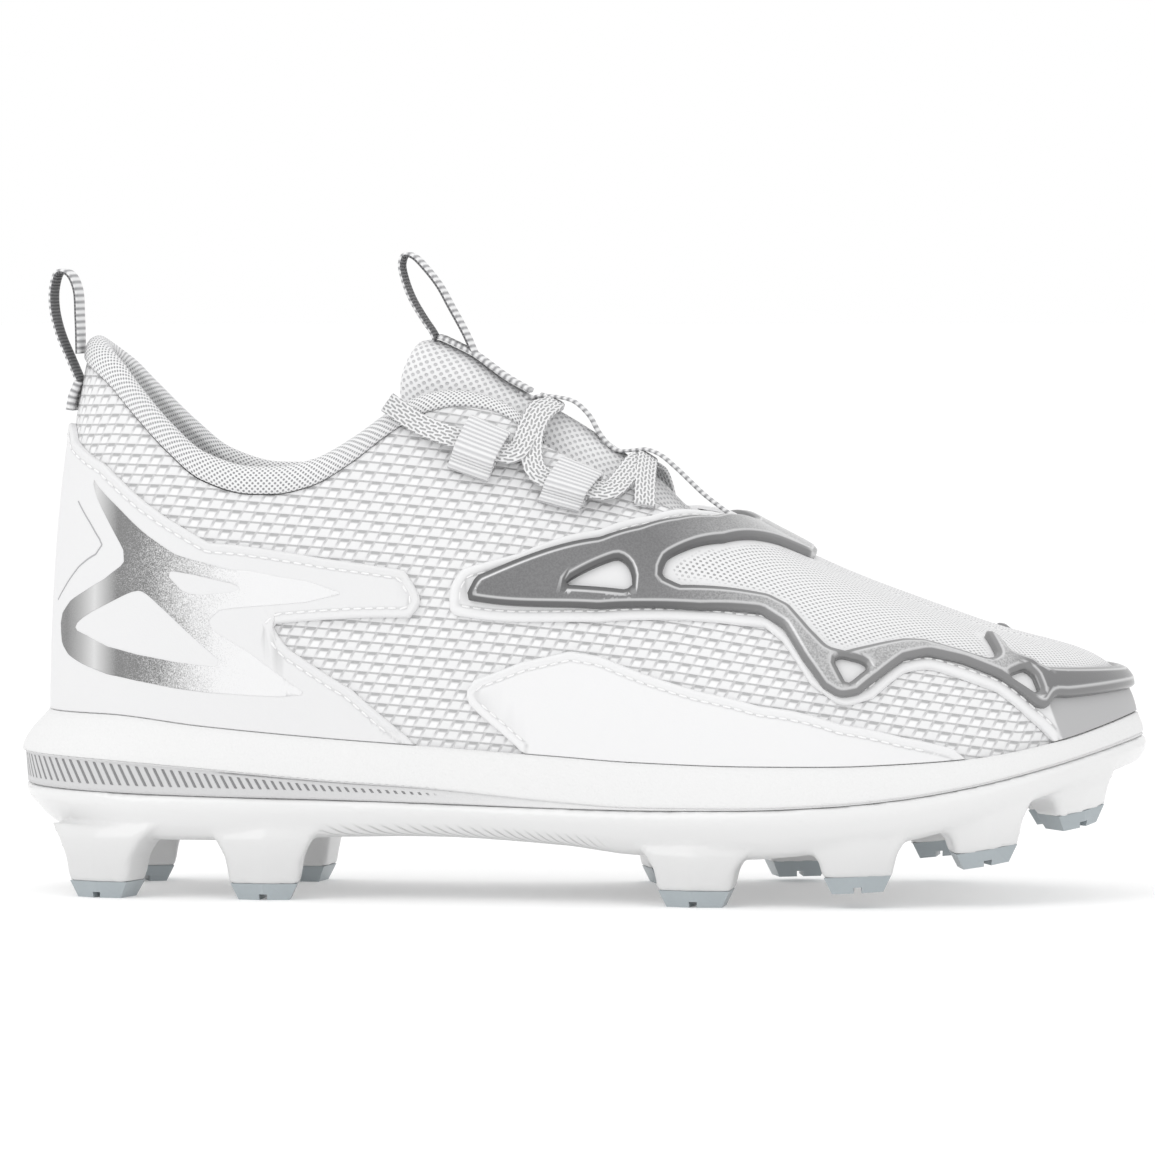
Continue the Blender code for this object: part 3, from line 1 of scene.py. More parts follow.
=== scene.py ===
"""A right moulded baseball cleat: the looks of it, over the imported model's frame."""

import math

import bmesh
import bpy
import numpy as np
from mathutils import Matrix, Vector, kdtree
from mathutils.geometry import delaunay_2d_cdt


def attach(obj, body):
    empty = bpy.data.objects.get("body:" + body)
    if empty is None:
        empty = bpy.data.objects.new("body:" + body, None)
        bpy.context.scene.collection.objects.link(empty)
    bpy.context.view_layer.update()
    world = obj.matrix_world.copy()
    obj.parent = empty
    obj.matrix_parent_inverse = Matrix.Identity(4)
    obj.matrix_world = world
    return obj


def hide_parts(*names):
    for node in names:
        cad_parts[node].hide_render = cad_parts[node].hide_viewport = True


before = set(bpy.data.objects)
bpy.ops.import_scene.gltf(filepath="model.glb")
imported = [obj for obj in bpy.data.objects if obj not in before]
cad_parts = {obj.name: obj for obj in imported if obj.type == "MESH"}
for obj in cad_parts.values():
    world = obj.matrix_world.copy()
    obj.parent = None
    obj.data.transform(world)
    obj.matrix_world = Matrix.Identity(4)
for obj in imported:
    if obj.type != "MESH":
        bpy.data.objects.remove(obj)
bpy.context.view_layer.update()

# How far the model was moved, so that its box stands centred on the origin
SHIFT = np.array([-0.0008873, -0.0000783, 0.0])

# Driving sizes, in metres
LENGTH = 0.256
BALL_WIDTH = 0.089
COLLAR_HEIGHT = 0.127
SOLE_HEIGHT = 0.041
GAP = 0.0003
SEAT_GAP = 0.0006
SKIN_GAP = 0.0005
OVERLAY_GAP = 0.0007

# Upper
WALL = 0.0022
TUCK = 0.0034
FILM = 0.0009
FRAME_WALL = 0.0015
COLLAR_ROLL = 0.0070
COLLAR_PAD = 0.0042
COLLAR_DROP = 0.0150
LINING = 0.0012
TONGUE_WALL = 0.0040

# Sole
RIM = 0.0011
BAND_STEP = 0.0007
PLATE_FLOOR = 0.0040
PLATE_WALL = 0.0032
PLATE_BULGE = 0.0010
CUP_SLOPE = 0.0030
INSOLE_WALL = 0.0035
TIP_HEIGHT = 0.0037
STUD_ROOT = 0.0030
STUD_RIDGE = 0.0014
STUD_TURN = 0.8
STUD_INWARD = 0.8
STUD_REACH = 0.008
STUD_TAPER = 0.86
RIB_END = 0.392
RIM_ROUND = 0.0005
INSOLE_SIDE = 0.8

# Laces and webbing
LACE_WIDTH = 0.0050
LACE_WALL = 0.0014
LACE_CLEARANCE = 0.0006
LACE_STRAIGHT = 1.7
LACE_TURN = 2.1
KEEPER_SLANT = 0.45
KEEPER_TURN = 0.08
TUCK_OVER = 0.0024
PATTERN_RATE = 1.35
HEEL_TAPE_WIDTH = 0.0100
TONGUE_TAPE_WIDTH = 0.0085
TAPE_WALL = 0.0011
KEEPER_WIDTH = 0.0094
KEEPER_TAIL = 0.0068
KEEPER_WALL = 0.0009
KEEPER_GAP = 0.0007
HEEL_TAPE_LAP = 0.060
DOUBLE_TAPE = 0.0018

# The last's pattern: how far it is stretched sideways, and where the crest's ridge starts
PATTERN_STRETCH = 1.7
RIDGE_START = 0.97

# How the shapes are worked out: blend of the last's two sides, corners, samples and the size of a block
SIDE_BLEND = 0.09
STRAIGHT = -0.8
CORNER_SHARE = 0.42
HEEL_SAMPLES = 200
SHARE_STEP = 0.01
SHARE_END = 0.999
BLOCK = 2000

# The line where the upper leaves the sole: shares of LENGTH, then of BALL_WIDTH on each side
FEATHER = (
    # along, lateral, medial
    (0.031, 0.000, 0.000),
    (0.043, 0.130, 0.130),
    (0.070, 0.218, 0.218),
    (0.119, 0.282, 0.282),
    (0.195, 0.310, 0.310),
    (0.301, 0.319, 0.295),
    (0.434, 0.348, 0.276),
    (0.566, 0.410, 0.324),
    (0.666, 0.457, 0.414),
    (0.732, 0.467, 0.457),
    (0.798, 0.448, 0.471),
    (0.864, 0.395, 0.448),
    (0.917, 0.310, 0.390),
    (0.957, 0.190, 0.300),
    (0.982, 0.057, 0.190),
    (0.991, -0.067, 0.067),
)

# Heights of the last's crest, in shares of COLLAR_HEIGHT; over the collar it is imagined
CREST = (
    # along, height
    (0.109, 1.146),
    (0.235, 1.095),
    (0.334, 1.010),
    (0.417, 0.925),
    (0.500, 0.836),
    (0.566, 0.754),
    (0.649, 0.648),
    (0.715, 0.577),
    (0.787, 0.516),
    (0.840, 0.474),
    (0.891, 0.444),
)

# Sideways place of the crest, in shares of BALL_WIDTH, towards the medial side
CREST_SIDE = (
    # along, side
    (0.109, 0.000),
    (0.400, 0.000),
    (0.600, 0.030),
    (0.891, 0.062),
)

# Fullness of the last's section: powers of the cosine and the sine of its quarter ellipse
FULLNESS = (
    # along, lateral, medial, height
    (0.03, 1.00, 1.00, 1.00),
    (0.12, 0.90, 0.90, 1.00),
    (0.30, 0.85, 0.85, 1.00),
    (0.45, 1.00, 0.90, 1.00),
    (0.60, 1.05, 0.95, 0.95),
    (0.75, 1.00, 0.92, 0.85),
    (0.90, 0.90, 0.88, 0.85),
    (0.99, 0.85, 0.85, 0.85),
)

# Levels of the sole's side in shares of SOLE_HEIGHT, and how far it stands out past the feather line
# in shares of BALL_WIDTH. The edge inset is how far the plate's underside starts in from its side
SOLE = (
    # along, top, band, groove, bottom, flare, groove_flare, edge_inset
    (0.000, 1.000, 0.800, 0.620, 0.330, 0.092, 0.078, 0.045),
    (0.090, 0.995, 0.770, 0.590, 0.325, 0.075, 0.062, 0.045),
    (0.180, 0.935, 0.725, 0.572, 0.318, 0.055, 0.047, 0.045),
    (0.290, 0.875, 0.665, 0.558, 0.340, 0.040, 0.036, 0.045),
    (0.380, 0.838, 0.630, 0.545, 0.350, 0.034, 0.034, 0.045),
    (0.500, 0.790, 0.565, 0.528, 0.315, 0.034, 0.036, 0.045),
    (0.567, 0.765, 0.542, 0.525, 0.270, 0.037, 0.038, 0.045),
    (0.660, 0.752, 0.548, 0.534, 0.257, 0.040, 0.038, 0.045),
    (0.740, 0.755, 0.575, 0.560, 0.300, 0.040, 0.036, 0.045),
    (0.800, 0.770, 0.615, 0.600, 0.355, 0.038, 0.034, 0.045),
    (0.860, 0.798, 0.680, 0.665, 0.450, 0.034, 0.030, 0.045),
    (0.930, 0.880, 0.790, 0.775, 0.600, 0.030, 0.027, 0.045),
    (0.995, 1.010, 0.920, 0.900, 0.735, 0.032, 0.032, 0.045),
)

# Height of the opening's edge on the last, as a share of the way from the sole up to the crest
OPENING = (
    # along, share
    (0.031, 0.560),
    (0.066, 0.520),
    (0.092, 0.478),
    (0.132, 0.418),
    (0.167, 0.380),
    (0.200, 0.370),
    (0.232, 0.380),
    (0.267, 0.412),
    (0.302, 0.478),
    (0.331, 0.558),
    (0.367, 0.662),
    (0.403, 0.735),
    (0.433, 0.765),
    (0.460, 0.745),
    (0.485, 0.718),
    (0.536, 0.712),
    (0.589, 0.712),
    (0.625, 0.745),
    (0.652, 0.830),
    (0.672, 0.920),
    (0.684, 1.000),
)

# Studs: place along and across, tip size and height, tilt in degrees and side (-1 lateral, 1 medial)
STUDS = (
    # name, along, across, length, depth, height, tilt, side
    ("heel_rear_lateral", 0.093, 0.270, 0.0110, 0.0085, 0.000, 0.0, -1),
    ("heel_front_lateral", 0.236, 0.300, 0.0116, 0.0085, 0.000, 0.0, -1),
    ("heel_rear_medial", 0.093, 0.270, 0.0110, 0.0085, 0.000, 0.0, 1),
    ("heel_front_medial", 0.236, 0.300, 0.0116, 0.0085, 0.000, 0.0, 1),
    ("ball_lateral", 0.622, 0.420, 0.0126, 0.0088, 0.000, 0.0, -1),
    ("ball_medial", 0.580, 0.330, 0.0126, 0.0088, 0.000, 0.0, 1),
    ("tread_lateral", 0.761, 0.420, 0.0114, 0.0085, 0.085, 3.0, -1),
    ("tread_medial", 0.685, 0.425, 0.0112, 0.0085, 0.032, 1.0, 1),
    ("toe_side_lateral", 0.867, 0.335, 0.0104, 0.0082, 0.225, 9.0, -1),
    ("toe_side_medial", 0.815, 0.430, 0.0104, 0.0082, 0.150, 6.0, 1),
    ("toe_front_lateral", 0.941, 0.170, 0.0090, 0.0078, 0.415, 11.0, -1),
    ("toe_front_medial", 0.925, 0.285, 0.0090, 0.0078, 0.370, 11.0, 1),
)

# The plate's side and a stud's root, level by level
PLATE_SIDE = (
    # way down from the groove to the bottom, share of the bulge, share of the edge inset
    (0.26, 1.0, 0.00),
    (0.66, 0.0, 0.00),
    (0.90, 0.0, 0.35),
    (1.00, 0.0, 1.00),
)
STUD_FLARE = (
    # share of the way up to the root, growth, lean of the outer face
    (0.00, 0.0018, 0.0006),
    (0.45, 0.0028, 0.0009),
    (0.78, 0.0050, 0.0006),
    (1.00, 0.0078, -0.0010),
)

# Outlines on the flattened pattern: along in shares of LENGTH from the middle, across in shares of
# BALL_WIDTH from the centre line, lateral side. The medial side repeats them
COUNTER = (
    (-0.4575, 0.125), (-0.427, 0.243), (-0.374, 0.341), (-0.331, 0.373), (-0.215, 0.379),
    (-0.146, 0.386), (-0.129, 0.416), (-0.142, 0.431), (-0.278, 0.438), (-0.262, 0.456),
    (-0.202, 0.489), (-0.128, 0.556), (-0.200, 0.620), (-0.300, 0.620), (-0.400, 0.560),
    (-0.480, 0.440),
)
COUNTER_TOP = (-0.4665, 0.0)
COUNTER_FOOT = ((-0.54, -0.22), (-0.56, 0.0), (-0.54, 0.22))
SIDE_PANEL = (
    (-0.090, 0.510), (-0.080, 0.500), (-0.035, 0.497), (0.012, 0.504), (0.041, 0.523),
    (0.080, 0.562), (0.138, 0.618), (0.197, 0.667), (0.274, 0.700), (0.332, 0.697),
    (0.385, 0.680), (0.408, 0.700), (0.340, 0.800), (0.243, 0.860), (0.144, 0.830),
    (0.046, 0.760), (0.002, 0.690), (-0.024, 0.608), (-0.054, 0.564), (-0.085, 0.524),
)
VAMP_SIDE = (
    (0.145, 0.020), (0.113, 0.152), (0.074, 0.258), (0.032, 0.321), (-0.039, 0.366),
    (-0.092, 0.383), (-0.104, 0.402), (-0.104, 0.430), (0.038, 0.473), (0.166, 0.483),
    (0.188, 0.478), (0.206, 0.510), (0.238, 0.612), (0.272, 0.660), (0.297, 0.612),
    (0.317, 0.500), (0.335, 0.453), (0.402, 0.438), (0.445, 0.476), (0.484, 0.493),
)
FRAME_OUTER = (
    (0.150, 0.030), (0.124, 0.185), (0.096, 0.250), (0.066, 0.303), (0.033, 0.341),
    (-0.078, 0.393), (-0.089, 0.417), (0.038, 0.456), (0.130, 0.463), (0.182, 0.453),
    (0.204, 0.481), (0.226, 0.557), (0.250, 0.622), (0.267, 0.640), (0.283, 0.620),
    (0.298, 0.553), (0.313, 0.473), (0.332, 0.423), (0.362, 0.403), (0.396, 0.399),
    (0.428, 0.424), (0.442, 0.438), (0.452, 0.420), (0.453, 0.356),
)
FRAME_INNER = (
    (0.429, 0.267), (0.416, 0.252), (0.396, 0.264), (0.376, 0.182), (0.366, 0.194),
    (0.387, 0.312), (0.382, 0.348), (0.323, 0.372), (0.307, 0.398), (0.280, 0.466),
    (0.261, 0.508), (0.246, 0.510), (0.227, 0.469), (0.205, 0.413), (0.186, 0.397),
    (0.152, 0.404), (0.109, 0.415), (0.090, 0.400), (0.094, 0.361), (0.119, 0.305),
    (0.139, 0.262), (0.158, 0.190), (0.180, 0.110), (0.206, 0.045),
)
REAR_WINDOW = ((0.003, 0.415), (0.052, 0.374), (0.062, 0.389), (0.067, 0.422), (0.061, 0.429))
MIDDLE_WINDOW = ((0.254, 0.545), (0.259, 0.529), (0.279, 0.527), (0.285, 0.540), (0.271, 0.604))
FRONT_WINDOW = ((0.404, 0.384), (0.415, 0.316), (0.425, 0.332), (0.437, 0.380), (0.434, 0.398))
CORNER = 0.004
FRAME_CORNER = 0.003
TOE_ARC_START = 0.94
BUMPER_TOP = 0.425
BUMPER_FOOT = 0.260

# Padding of the collar and the tongue
COLLAR_END = 0.480
COLLAR_TAPER = (
    # along, height and thickness as shares of the full roll and padding
    (0.030, 1.00, 1.00),
    (0.320, 1.00, 1.00),
    (0.370, 0.90, 0.64),
    (0.420, 0.78, 0.48),
    (0.480, 0.66, 0.42),
)
COLLAR_INSIDE = 1.25
COLLAR_CROWN = (
    # way up from the opening's edge in COLLAR_ROLL, way out from the wall's outer face in COLLAR_PAD
    (0.06, 0.12),
    (0.30, 0.25),
    (0.55, 0.24),
    (0.80, 0.10),
    (0.97, -0.20),
    (1.00, -0.48),
    (0.93, -0.78),
)
TONGUE = (
    # along, half width as a share of the way down to the sole, lift at the middle, lift at the edges
    (0.360, 0.400, 0.0012, -0.0088),
    (0.375, 0.425, 0.0026, -0.0086),
    (0.400, 0.425, 0.0028, -0.0088),
    (0.440, 0.395, 0.0024, -0.0084),
    (0.500, 0.365, 0.0020, -0.0066),
    (0.565, 0.340, 0.0008, -0.0052),
    (0.600, 0.310, -0.0022, -0.0048),
    (0.620, 0.270, -0.0042, -0.0048),
    (0.690, 0.210, -0.0040, -0.0044),
)
TONGUE_SWEEP = 0.010
TONGUE_SWEEP_END = 0.5
TONGUE_SWEEP_FADE = 0.1
TONGUE_ROUND = 0.030
TONGUE_BEND = 0.22
TONGUE_THINNING = 0.55
TONGUE_END = 0.02
TONGUE_END_WALL = 0.45

# The lace's stops on the pattern, from the toe back: along and across; the medial ones lie further forward
LACE_HOLE = (0.068, 0.236)
FRONT_KEEPER = (0.003, 0.248)
REAR_KEEPER = (-0.080, 0.224)
MEDIAL_SHIFT = 0.006

# How a strand lifts over the tongue between two stops, and over the collar's roll at its end
LACE_ARCH = (
    # share of the way, share of STRAND_OVER
    (0.16, 0.3),
    (0.34, 0.8),
    (0.50, 1.0),
    (0.66, 0.8),
    (0.84, 0.3),
)
LACE_END = (
    # share of the way, share of TUCK_OVER
    (0.35, 0.3),
    (0.75, 0.6),
    (1.00, 1.0),
)

# Pull loops seen from the side, middle of the ribbon: shares of LENGTH and of COLLAR_HEIGHT
HEEL_LOOP = (
    (-0.4470, 0.915), (-0.4560, 0.957), (-0.4650, 1.000), (-0.4705, 1.045), (-0.4705, 1.085),
    (-0.4655, 1.112), (-0.4570, 1.110), (-0.4500, 1.085), (-0.4478, 1.030), (-0.4470, 0.965),
)
HEEL_TAPE_FOOT = 0.862
TONGUE_LOOP = (
    (-0.1290, 1.004), (-0.1365, 1.026), (-0.1477, 1.064), (-0.1543, 1.098), (-0.1570, 1.127),
    (-0.1536, 1.143), (-0.1464, 1.140), (-0.1351, 1.118), (-0.1228, 1.086), (-0.1132, 1.051),
    (-0.1033, 1.015), (-0.0975, 0.992),
)
TONGUE_TAPE_FRONT = 0.455

# The looks alone: how the visible pieces differ from the model's solids

# Meshes of the skin pieces: steps along a rim and between points, and the rows that follow a rim inwards
RIM_STEP = 0.0010
RIM_SAMPLE = 0.0002
SEAM_STEP = 0.0004
PATCH_STEP = 0.0017
RATE_STEP = 0.0005
RATE_LIMITS = (0.7, 2.5)
STAGGER = 0.87
CLEAR_SHARE = 0.85
EDGE_ROWS = (0.0002, 0.0004, 0.0007, 0.0010, 0.0013, 0.0015, 0.0018, 0.0021, 0.0024, 0.0028)
RING_STEP = 0.00075
UPPER_STEP = 0.0011
UPPER_ROWS = 44
LINING_ROWS = 4
COLLAR_STEP = 0.0013
TONGUE_GRID = (110, 57)
TOE_ARC_POINTS = 14

# Films and their edges
SKIRT = 0.00062
FOOT_HEIGHT = 0.0016
BEAD = 0.0002
BEAD_ROUND = 0.0006
BEAD_WIDTH = 0.0009
BEAD_SLOPE = 0.0005
SMALLEST_CORNER = 0.0003
COUNTER_CORNER = 0.006
PANEL_CORNER = 0.007
PRINT_CORNER = 0.0012
PRINT_RIM_CORNER = 0.0002
PRINT_SKIRT = 0.0001
PRINT_LIFT = 0.00006
VAMP_ROUND = 0.0009
GROOVE_INSET = 0.0023
GROOVE_WIDTH = 0.00035
GROOVE_REACH = 0.0005
FIELD_INSET = 0.0016
FIELD_FADE = 0.0008
FIELD_STEP = 0.0006

# The moulded frame's edge: a small step, then a slope up to the crease
BEVEL = 0.0013
FRAME_STEP = 0.0003
FRAME_STEP_SHARE = 0.55
CREASE_INSET = 0.0001
CREASE_WIDTH = 0.00022

# Stitches and seams
STITCH_INSET = 0.0021
STITCH_LENGTH = 0.0019
STITCH_PITCH = 0.0026
STITCH_WIDTH = 0.0005
STITCH_FLATNESS = 0.7
STITCH_ROUND = 6
STITCH_SHAPE = (
    # share of the length, share of the width
    (-0.5, 0.25),
    (-0.40, 0.85),
    (0.0, 1.0),
    (0.40, 0.85),
    (0.5, 0.25),
)
SEAM_WIDTH = 0.00025
SEAM_BREAK = 0.0016
SEAM_CLEAR = 0.95
SEAM_SHORTEST = 12
THREAD_LIFT = 0.00005
HEEL_LINE_STITCH = (0.0007, 0.0006, 0.0004)

# Sole and studs
RIM_RISE = 0.0005
RIM_EDGE = 0.0002
BAND_EDGE = 0.0002
SIDE_CROWN = 1.6
RIB_FADE = 0.004
STUD_SKIN = 0.0004
STUD_ROUND = 0.0012
STUD_STEP = 0.0004
HEEL_TUCK = 0.009
HEEL_TUCK_START = -0.098
HEEL_TUCK_SPAN = 0.025
HEEL_TUCK_POWER = 1.4
PLATE_VOXEL = 0.00082
TIP_ROUND = 0.0006

# Laces, keepers and webbing
STRAND_WALL = 0.0010
STRAND_OVER = 0.00135
STRAND_STEP = 0.00055
STRAND_END = (-0.163, 0.203)
CROSSING_AHEAD = 0.003
CROSSING_WIDTH = 0.16
LACE_STEP = 0.0008
TAPE_STEP = 0.0005
TAPE_FOOT_STEP = 0.0006
TAPE_EDGE = (
    # share of the half width, share of the half thickness
    (-1.0, 0.0),
    (-0.97, 0.62),
    (-0.88, 0.92),
    (-0.70, 1.0),
    (-0.35, 1.0),
    (0.0, 1.0),
)
KEEPER_EDGE = (
    # share of the half width, share of the half thickness
    (-1.0, 0.0),
    (-0.985, 0.7),
    (-0.94, 1.0),
    (-0.5, 1.0),
    (0.0, 1.0),
    (0.5, 1.0),
    (0.94, 1.0),
    (0.985, 0.7),
)
KEEPER_STEP = 0.0003
KEEPER_SHORTER = 0.0013
KEEPER_TURN_START = 0.0008
KEEPER_LAP = 0.0004
THROAT_TAPE_WIDTH = 0.0055
THROAT_TAPE_WALL = 0.0007
TONGUE_LOOP_START = (-0.1262, 0.992)
TONGUE_LOOP_END = (-0.0925, 0.968)

# Tongue
TONGUE_SIDE_ROUND = 0.10
TONGUE_END_ROUND = 0.010
TONGUE_SINK = 0.0011
SINK_SPAN = (
    # along, share of TONGUE_SINK
    (0.400, 0.0),
    (0.440, 1.0),
    (0.565, 1.0),
    (0.610, 0.0),
)
# The tape over the crossings, seen from the side, in metres
THROAT_TAPE = (
    # along, height
    (-0.0131, 0.1142), (-0.0113, 0.1126), (-0.0085, 0.1131), (-0.0044, 0.1128), (-0.0006, 0.1117),
    (0.0028, 0.1085), (0.0049, 0.1048), (0.0069, 0.1023), (0.0092, 0.1007), (0.0124, 0.1007),
    (0.0154, 0.1010), (0.0188, 0.0998), (0.0222, 0.0971), (0.0256, 0.0939), (0.0290, 0.0907),
    (0.0325, 0.0880), (0.0359, 0.0855),
)

# Studio: lights by place, size and power, and the camera that matches the photograph
FLOOR_REACH = 14.0
FLOOR_SIDES = 64
FLOOR_GREY = 0.80
FLOOR_GLOW = 0.21
LIGHTS = (
    # name, place, size, power
    ("key_light", (-0.9, -1.1, 1.5), 1.2, 7.0),
    ("fill_light", (1.3, -1.0, 0.9), 1.4, 1.0),
    ("top_light", (0.1, 0.3, 1.8), 1.6, 2.0),
)
LIGHT_AIM = (0.0, 0.0, 0.06)
CAMERA_TURN = 6.2
CAMERA_RISE = 2.3
CAMERA_DISTANCE = 1.8649
CAMERA_AIM = (0.0, 0.0, 0.0717)
CAMERA_LENS = 255.2
CAMERA_SENSOR = 36.0

# Greys of the heel print along the shoe, over PRINT_SPAN millimetres from PRINT_START
PRINT_START = -126.0
PRINT_SPAN = 60.0
PRINT_STOPS = (
    # share of the span, grey
    (0.117, 0.17),
    (0.167, 0.17),
    (0.233, 0.40),
    (0.290, 0.66),
    (0.340, 0.40),
    (0.383, 0.17),
    (0.530, 0.17),
    (0.667, 0.30),
)

# How far the knit's rows rise along the shoe, in millimetres; towards the toe they come down
ROW_LINE = (
    # along, rise
    (0.03, 0.0),
    (0.08, 0.6),
    (0.14, 0.3),
    (0.30, -2.6),
    (0.45, -5.5),
    (0.60, -8.8),
    (0.75, -14.0),
    (0.90, -20.0),
)

# The heel's print, its two windows and the line round the bare patch behind it, on the pattern
PRINT = (
    (-0.440, 0.228), (-0.434, 0.251), (-0.416, 0.299), (-0.399, 0.334), (-0.382, 0.359), (-0.365, 0.376),
    (-0.346, 0.385), (-0.329, 0.391), (-0.311, 0.397), (-0.292, 0.398), (-0.265, 0.400), (-0.237, 0.400),
    (-0.204, 0.408), (-0.242, 0.418), (-0.276, 0.424), (-0.325, 0.427), (-0.338, 0.433),
    (-0.333, 0.441), (-0.323, 0.448), (-0.298, 0.462), (-0.272, 0.477), (-0.246, 0.491), (-0.272, 0.494),
    (-0.302, 0.494), (-0.340, 0.487), (-0.378, 0.474), (-0.414, 0.447), (-0.444, 0.402), (-0.472, 0.326),
    (-0.483, 0.278), (-0.489, 0.236), (-0.489, 0.211), (-0.485, 0.218), (-0.474, 0.254), (-0.457, 0.299),
    (-0.436, 0.333), (-0.418, 0.348), (-0.413, 0.349), (-0.414, 0.338), (-0.420, 0.319), (-0.428, 0.291),
    (-0.436, 0.258),
)
WINDOW_LOW = (
    (-0.472, 0.288), (-0.467, 0.300), (-0.435, 0.356), (-0.411, 0.378), (-0.401, 0.386), (-0.394, 0.395),
    (-0.379, 0.415), (-0.353, 0.443), (-0.330, 0.464), (-0.329, 0.468), (-0.337, 0.468), (-0.374, 0.456),
    (-0.411, 0.429), (-0.440, 0.385), (-0.462, 0.328), (-0.472, 0.293),
)
WINDOW_HIGH = (
    (-0.374, 0.389), (-0.369, 0.388), (-0.347, 0.396), (-0.311, 0.408), (-0.301, 0.412), (-0.312, 0.415),
    (-0.340, 0.413), (-0.353, 0.410), (-0.361, 0.405), (-0.368, 0.397),
)
HEEL_LINE = (
    (-0.456, 0.209), (-0.445, 0.263), (-0.437, 0.295), (-0.435, 0.304), (-0.442, 0.299), (-0.461, 0.263),
    (-0.481, 0.208), (-0.490, 0.167),
)


def column(table, index):
    """One column of a table."""
    return np.array([row[index] for row in table], float)


def eased(table, x, index=1):
    """A smooth curve through a table's rows that never overshoots them."""
    xs, ys = column(table, 0), column(table, index)
    rise = np.diff(ys) / np.diff(xs)
    slope = np.concatenate([rise[:1], np.zeros(len(xs) - 2), rise[-1:]])
    for i in range(1, len(xs) - 1):
        if rise[i - 1] * rise[i] > 0:
            slope[i] = 2 * rise[i - 1] * rise[i] / (rise[i - 1] + rise[i])
    x = np.clip(x, xs[0], xs[-1])
    i = np.clip(np.searchsorted(xs, x) - 1, 0, len(xs) - 2)
    span = xs[i + 1] - xs[i]
    t = (x - xs[i]) / span
    start = (1 + 2 * t) * (1 - t) ** 2 * ys[i] + t * (1 - t) ** 2 * span * slope[i]
    return start + t * t * (3 - 2 * t) * ys[i + 1] + t * t * (t - 1) * span * slope[i + 1]


def curve_through(points, closed, steps):
    """Centripetal Catmull-Rom curve through the points, steps to each span."""
    points = np.array(points, float)
    count = len(points)
    if closed:
        padded = np.vstack([points[-1:], points, points[:2]])
    else:
        padded = np.vstack([2 * points[0] - points[1], points, 2 * points[-1] - points[-2]])
    made = []
    for i in range(count if closed else count - 1):
        a, b, c, d = padded[i : i + 4]
        ta = 0.0
        tb = ta + max(np.linalg.norm(b - a), 1e-9) ** 0.5
        tc = tb + max(np.linalg.norm(c - b), 1e-9) ** 0.5
        td = tc + max(np.linalg.norm(d - c), 1e-9) ** 0.5
        t = np.linspace(tb, tc, steps, endpoint=False)[:, None]
        ab = (a * (tb - t) + b * (t - ta)) / (tb - ta)
        bc = (b * (tc - t) + c * (t - tb)) / (tc - tb)
        cd = (c * (td - t) + d * (t - tc)) / (td - tc)
        abc = (ab * (tc - t) + bc * (t - ta)) / (tc - ta)
        bcd = (bc * (td - t) + cd * (t - tb)) / (td - tb)
        made.append((abc * (tc - t) + bcd * (t - tb)) / (tc - tb))
    if not closed:
        made.append(points[-1:])
    return np.concatenate(made)


def feather_branches():
    """The feather line as two dense branches from heel to toe, lateral then medial."""
    lateral = [((a - 0.5) * LENGTH, -l * BALL_WIDTH) for a, l, m in FEATHER]
    medial = [((a - 0.5) * LENGTH, m * BALL_WIDTH) for a, l, m in FEATHER]
    ring = curve_through(lateral[::-1] + medial[1:-1], True, 40)
    heel, toe = int(ring[:, 0].argmin()), int(ring[:, 0].argmax())
    ring = np.roll(ring, -toe, axis=0)
    split = (heel - toe) % len(ring)
    near = ring[: split + 1][::-1]
    far = np.vstack([ring[split:], ring[:1]])
    return near, far


LATERAL, MEDIAL = feather_branches()
HEEL_X, TOE_X = LATERAL[0, 0], LATERAL[-1, 0]


def crest_of(x):
    """Crest point that the wall over feather place x leans towards."""
    share = (x - HEEL_X) / (TOE_X - HEEL_X)
    along = CREST[0][0] + share * (CREST[-1][0] - CREST[0][0])
    side = eased(CREST_SIDE, along) * BALL_WIDTH
    return (along - 0.5) * LENGTH, side, eased(CREST, along) * COLLAR_HEIGHT


def sole_level(x, index):
    return eased(SOLE, x / LENGTH + 0.5, index) * SOLE_HEIGHT


def sole_flare(x, index):
    return eased(SOLE, x / LENGTH + 0.5, index) * BALL_WIDTH


TOP, BAND, GROOVE, BOTTOM, FLARE, GROOVE_FLARE, EDGE_INSET = range(1, 8)


def last_point(feather, share):
    """Point of the last over feather points (x, y), share 0 at the sole to 1 at the crest."""
    x, y = feather[..., 0], feather[..., 1]
    crest_x, crest_y, crest_z = crest_of(x)
    foot = sole_level(x, TOP) - TUCK
    along = x / LENGTH + 0.5
    medial = 0.5 + 0.5 * np.tanh((y - crest_y) / (SIDE_BLEND * BALL_WIDTH))
    power = eased(FULLNESS, along, 1) * (1 - medial) + eased(FULLNESS, along, 2) * medial
    out = np.cos(share * math.pi / 2).clip(0) ** power
    up = np.sin(share * math.pi / 2) ** eased(FULLNESS, along, 3)
    return np.stack(
        [crest_x + (x - crest_x) * out, crest_y + (y - crest_y) * out, foot + (crest_z - foot) * up],
        -1,
    )


SIDES = ((-1, "lateral"), (1, "medial"))


def branch(side):
    """The feather line's branch of a side, from heel to toe."""
    return LATERAL if side < 0 else MEDIAL


def feather_at(x, side):
    line = branch(side)
    return np.stack([x, np.interp(x, line[:, 0], line[:, 1])], -1)


def spot_on(line, position):
    """Point at a fractional index of a dense branch."""
    whole = np.arange(len(line))
    return np.stack([np.interp(position, whole, line[:, k]) for k in (0, 1)], -1)


